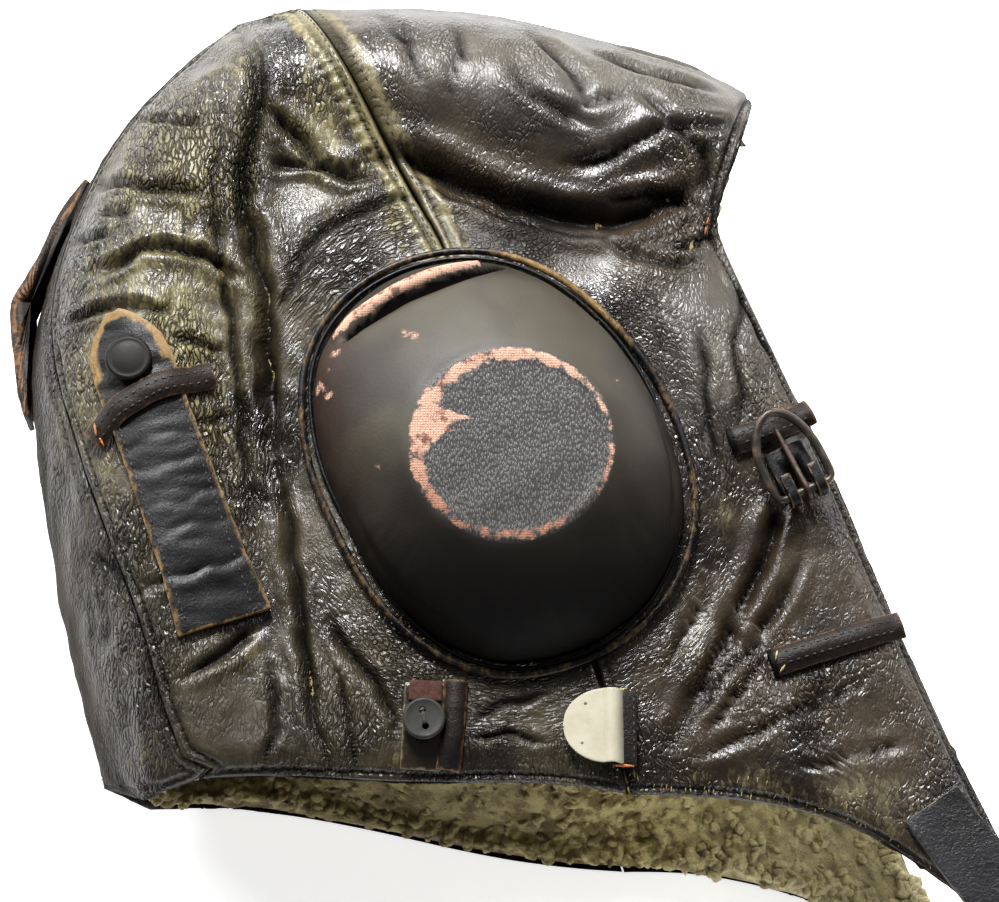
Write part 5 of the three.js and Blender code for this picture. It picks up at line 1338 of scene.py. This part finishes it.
tufts = holder_of("wool_tufts", poured_together([tuft_batch() for _ in range(TUFT_BATCHES)]))
tuft_points = places(tufts)
ruffle = 0.5 * wander(tuft_points, (1.7, 1.7, 1.7), 2.0) + 0.4 * wander(tuft_points, (0.8, 0.8, 0.8), 5.0)
move_to(tufts, tuft_points + facings(tufts) * ruffle[:, None])
finished(tufts, [], FLEECE)


def walk(points, pitch):
    """Evenly spaced places and directions along a joined line of points."""
    corners = np.asarray(points)
    lengths = np.linalg.norm(corners[1:] - corners[:-1], axis=1)
    done = np.concatenate([[0], lengths.cumsum()])
    stops = np.arange(pitch / 2, done[-1], pitch)
    nearby = (stops, np.minimum(stops + 0.8, done[-1]), np.maximum(stops - 0.8, 0))
    spots, ahead, behind = (
        np.column_stack([np.interp(at, done, corners[:, i]) for i in range(3)]) for at in nearby
    )
    return zip(spots, ahead - behind)


def edge_stitches(panel):
    """A row of stitches beside every open edge of a panel."""
    tree = joined_tree([skins[panel]])
    shape = bmesh.new()
    for loop in borders[panel]:
        for spot, along in walk(loop, STITCH_PITCH):
            spot = Vector(spot) * MM
            along = Vector(along).normalized()
            up = tree.find_nearest(spot)[1]
            side = along.cross(up).normalized() * SEWN_INSET * MM
            trials = [(tree.find_nearest(spot + side * s), s) for s in (1, -1)]
            (place, normal, _, away), s = min(trials, key=lambda t: t[0][3])
            if away < 0.0025 and normal.dot(up) > 0.2 and place.z > 0.04:
                stitch(shape, place, along, normal)
    return shape


sewing = poured_together([edge_stitches(panel) for panel in PANELS])
finished(holder_of("edge_stitching", sewing), [], DARK_THREAD)


def strap_rows(piece, line, offsets):
    """Rows of small stitches along a strap."""
    tree = joined_tree([piece.data])
    shape = bmesh.new()
    corners = np.asarray([(x, y, 0.0) for x, y in line])
    for offset in offsets:
        for spot, along in walk(corners, STRAP_PITCH):
            direction = Vector(along).normalized()
            across = Vector((direction.y, -direction.x, 0)) * offset
            top = tree.ray_cast((Vector(spot) + across) * MM + Vector((0, 0, 0.2)), Vector((0, 0, -1)))
            if top[0] is not None:
                stitch(shape, top[0] + top[1] * 0.0001, direction, top[1], 1.4, 0.6, 0.4)
    return shape


# Stitches on the straps: mm from one to the next; the strap, the line, and the rows' places beside it
STRAP_PITCH = 2.3
for name, piece, line, offsets in (
    ("keeper_stitches", keeper, [(-119, 12), (-113, 17.9), (-102, 24.5), (-87.5, 29.8)], (-1.6, 1.6)),
    ("upper_loop_stitches", upper, [(66, 10.2), (73, 12.6), (85, 18.7)], (-1.6, 1.6)),
    ("lower_loop_stitches", lower, [(77, -54.1), (90, -50.3), (108.5, -44.7)], (-1.6, 1.6)),
    ("hook_strip_stitches", hook_strip, [(33.2, -65.5), (33.2, -84)], (-1.0,)),
    ("goggle_edge_stitches", goggle, [(-106, 23.5), (-83, -40.5)], (-9.6, 9.6)),
):
    finished(holder_of(name, strap_rows(piece, line, offsets)), [], DARK_THREAD)

# Loose thread ends and bar tacks: x, y, direction in degrees, length in mm
ORANGE_ENDS = [
    (-119.6, 13.4, 105, 4.6), (-117.6, 9.6, 115, 3.2), (-92.2, 31.6, 100, 4.8), (-90.4, 28.2, 120, 3.6),
    (63.7, 12.2, 100, 4.4), (64.6, 8.0, 110, 2.6), (31.2, -85.2, -12, 7.2), (31.0, -86.4, -6, 6.0),
    (59.0, 77.8, 84, 6.4),
]
PALE_ENDS = [
    (30.4, -63.4, -14, 4.6), (30.8, -64.4, -20, 3.8), (74.6, -53.6, 80, 3.6), (76.2, -57.4, 60, 3.0),
]
TOPS = joined_tree(list(skins.values()) + [piece.data for piece in (keeper, upper, lower, hook_strip)])
for name, thread, ends in (("orange", ORANGE_THREAD, ORANGE_ENDS), ("pale", PALE_THREAD, PALE_ENDS)):
    loose_ends = bmesh.new()
    for x, y, turn, length in ends:
        spot, up, _, _ = TOPS.find_nearest(Vector((x, y, 94)) * MM)
        heading = Vector((math.cos(math.radians(turn)), math.sin(math.radians(turn)), 0))
        stitch(loose_ends, spot + up * 0.0003, heading, up, length, 0.7, 0.8)
    finished(holder_of(name + "_thread_ends", loose_ends), [], thread)


def hem_fibres(panel):
    """Short yellow fibres that stand in the worn hem below the cheek, across its edge."""
    tree = joined_tree([skins[panel]])
    shape = bmesh.new()
    for loop in borders[panel]:
        for spot, along in walk(loop, 1.3):
            if spot[2] < 70 or spot[1] > -72 or not 34 < spot[0] < 118 or draws.random() > 0.6:
                continue
            across = Vector((-along[1], along[0], 0)).normalized()
            across *= 1 if across.y > 0 else -1
            place, up, _, _ = tree.find_nearest((Vector(spot) + across * draws.uniform(1.2, 7.0)) * MM)
            heading = across + Vector((draws.uniform(-0.3, 0.3), 0, 0))
            stitch(shape, place + up * 0.0002, heading, up, draws.uniform(1.2, 2.8), 0.32, 0.3)
    return shape


finished(holder_of("hem_fibres", hem_fibres("front_panel")), [], HEM_HAIR)


def pale_board():
    """Matt white board, lit from within so that it stays as pale as paper under the soft lamps."""
    made, tree, shader, place = new_material("matt_pale_board")
    cloudy = add(tree, "TexNoise", None, {"Vector": place, "Scale": 3.0, "Detail": 2.0})
    colour = add(tree, "Mix", COLOURS, {0: cloudy, 6: hex_linear("#f6f6f6"), 7: hex_linear("#fbfbfb")}, 2)
    tree.links.new(colour, shader.inputs["Base Color"])
    shader.inputs["Roughness"].default_value = 0.9
    shader.inputs["Emission Color"].default_value = (1, 1, 1, 1)
    shader.inputs["Emission Strength"].default_value = 0.7
    return made


# Floor: half its side, and how far it lies under the helmet, in metres
FLOOR_HALF = 1.6
FLOOR_DROP = 0.0002
floor_shape = bmesh.new()
bmesh.ops.create_grid(floor_shape, x_segments=1, y_segments=1, size=FLOOR_HALF)
bmesh.ops.translate(floor_shape, verts=floor_shape.verts, vec=(0, 0, cad_low.z - FLOOR_DROP))
floor = holder_of("floor", floor_shape)
floor.data.materials.append(pale_board())


def lamp(name, place, size, power, colour="#ffffff"):
    """A soft square lamp that faces the helmet."""
    made = bpy.data.objects.new(name, bpy.data.lights.new(name, "AREA"))
    made.data.size = size
    made.data.energy = power
    made.data.color = hex_linear(colour)[:3]
    made.location = place
    made.rotation_mode = "QUATERNION"
    made.rotation_quaternion = (Vector((0, 0, 0.05)) - Vector(place)).to_track_quat("-Z", "Y")
    bpy.context.scene.collection.objects.link(made)


lamp("key_lamp", (-0.25, 1.05, 1.1), 0.34, 56)
lamp("left_lamp", (-1.2, 0.9, 0.8), 0.6, 13)
lamp("right_lamp", (1.1, 0.9, 1.0), 0.6, 10)
lamp("neck_lamp", (0.35, -1.3, 0.14), 0.5, 7)
world = bpy.data.worlds.new("studio")
world.use_nodes = True
world.node_tree.nodes["Background"].inputs["Color"].default_value = (1, 1, 1, 1)
world.node_tree.nodes["Background"].inputs["Strength"].default_value = 0.13
bpy.context.scene.world = world
bpy.context.scene.view_settings.view_transform = "Standard"
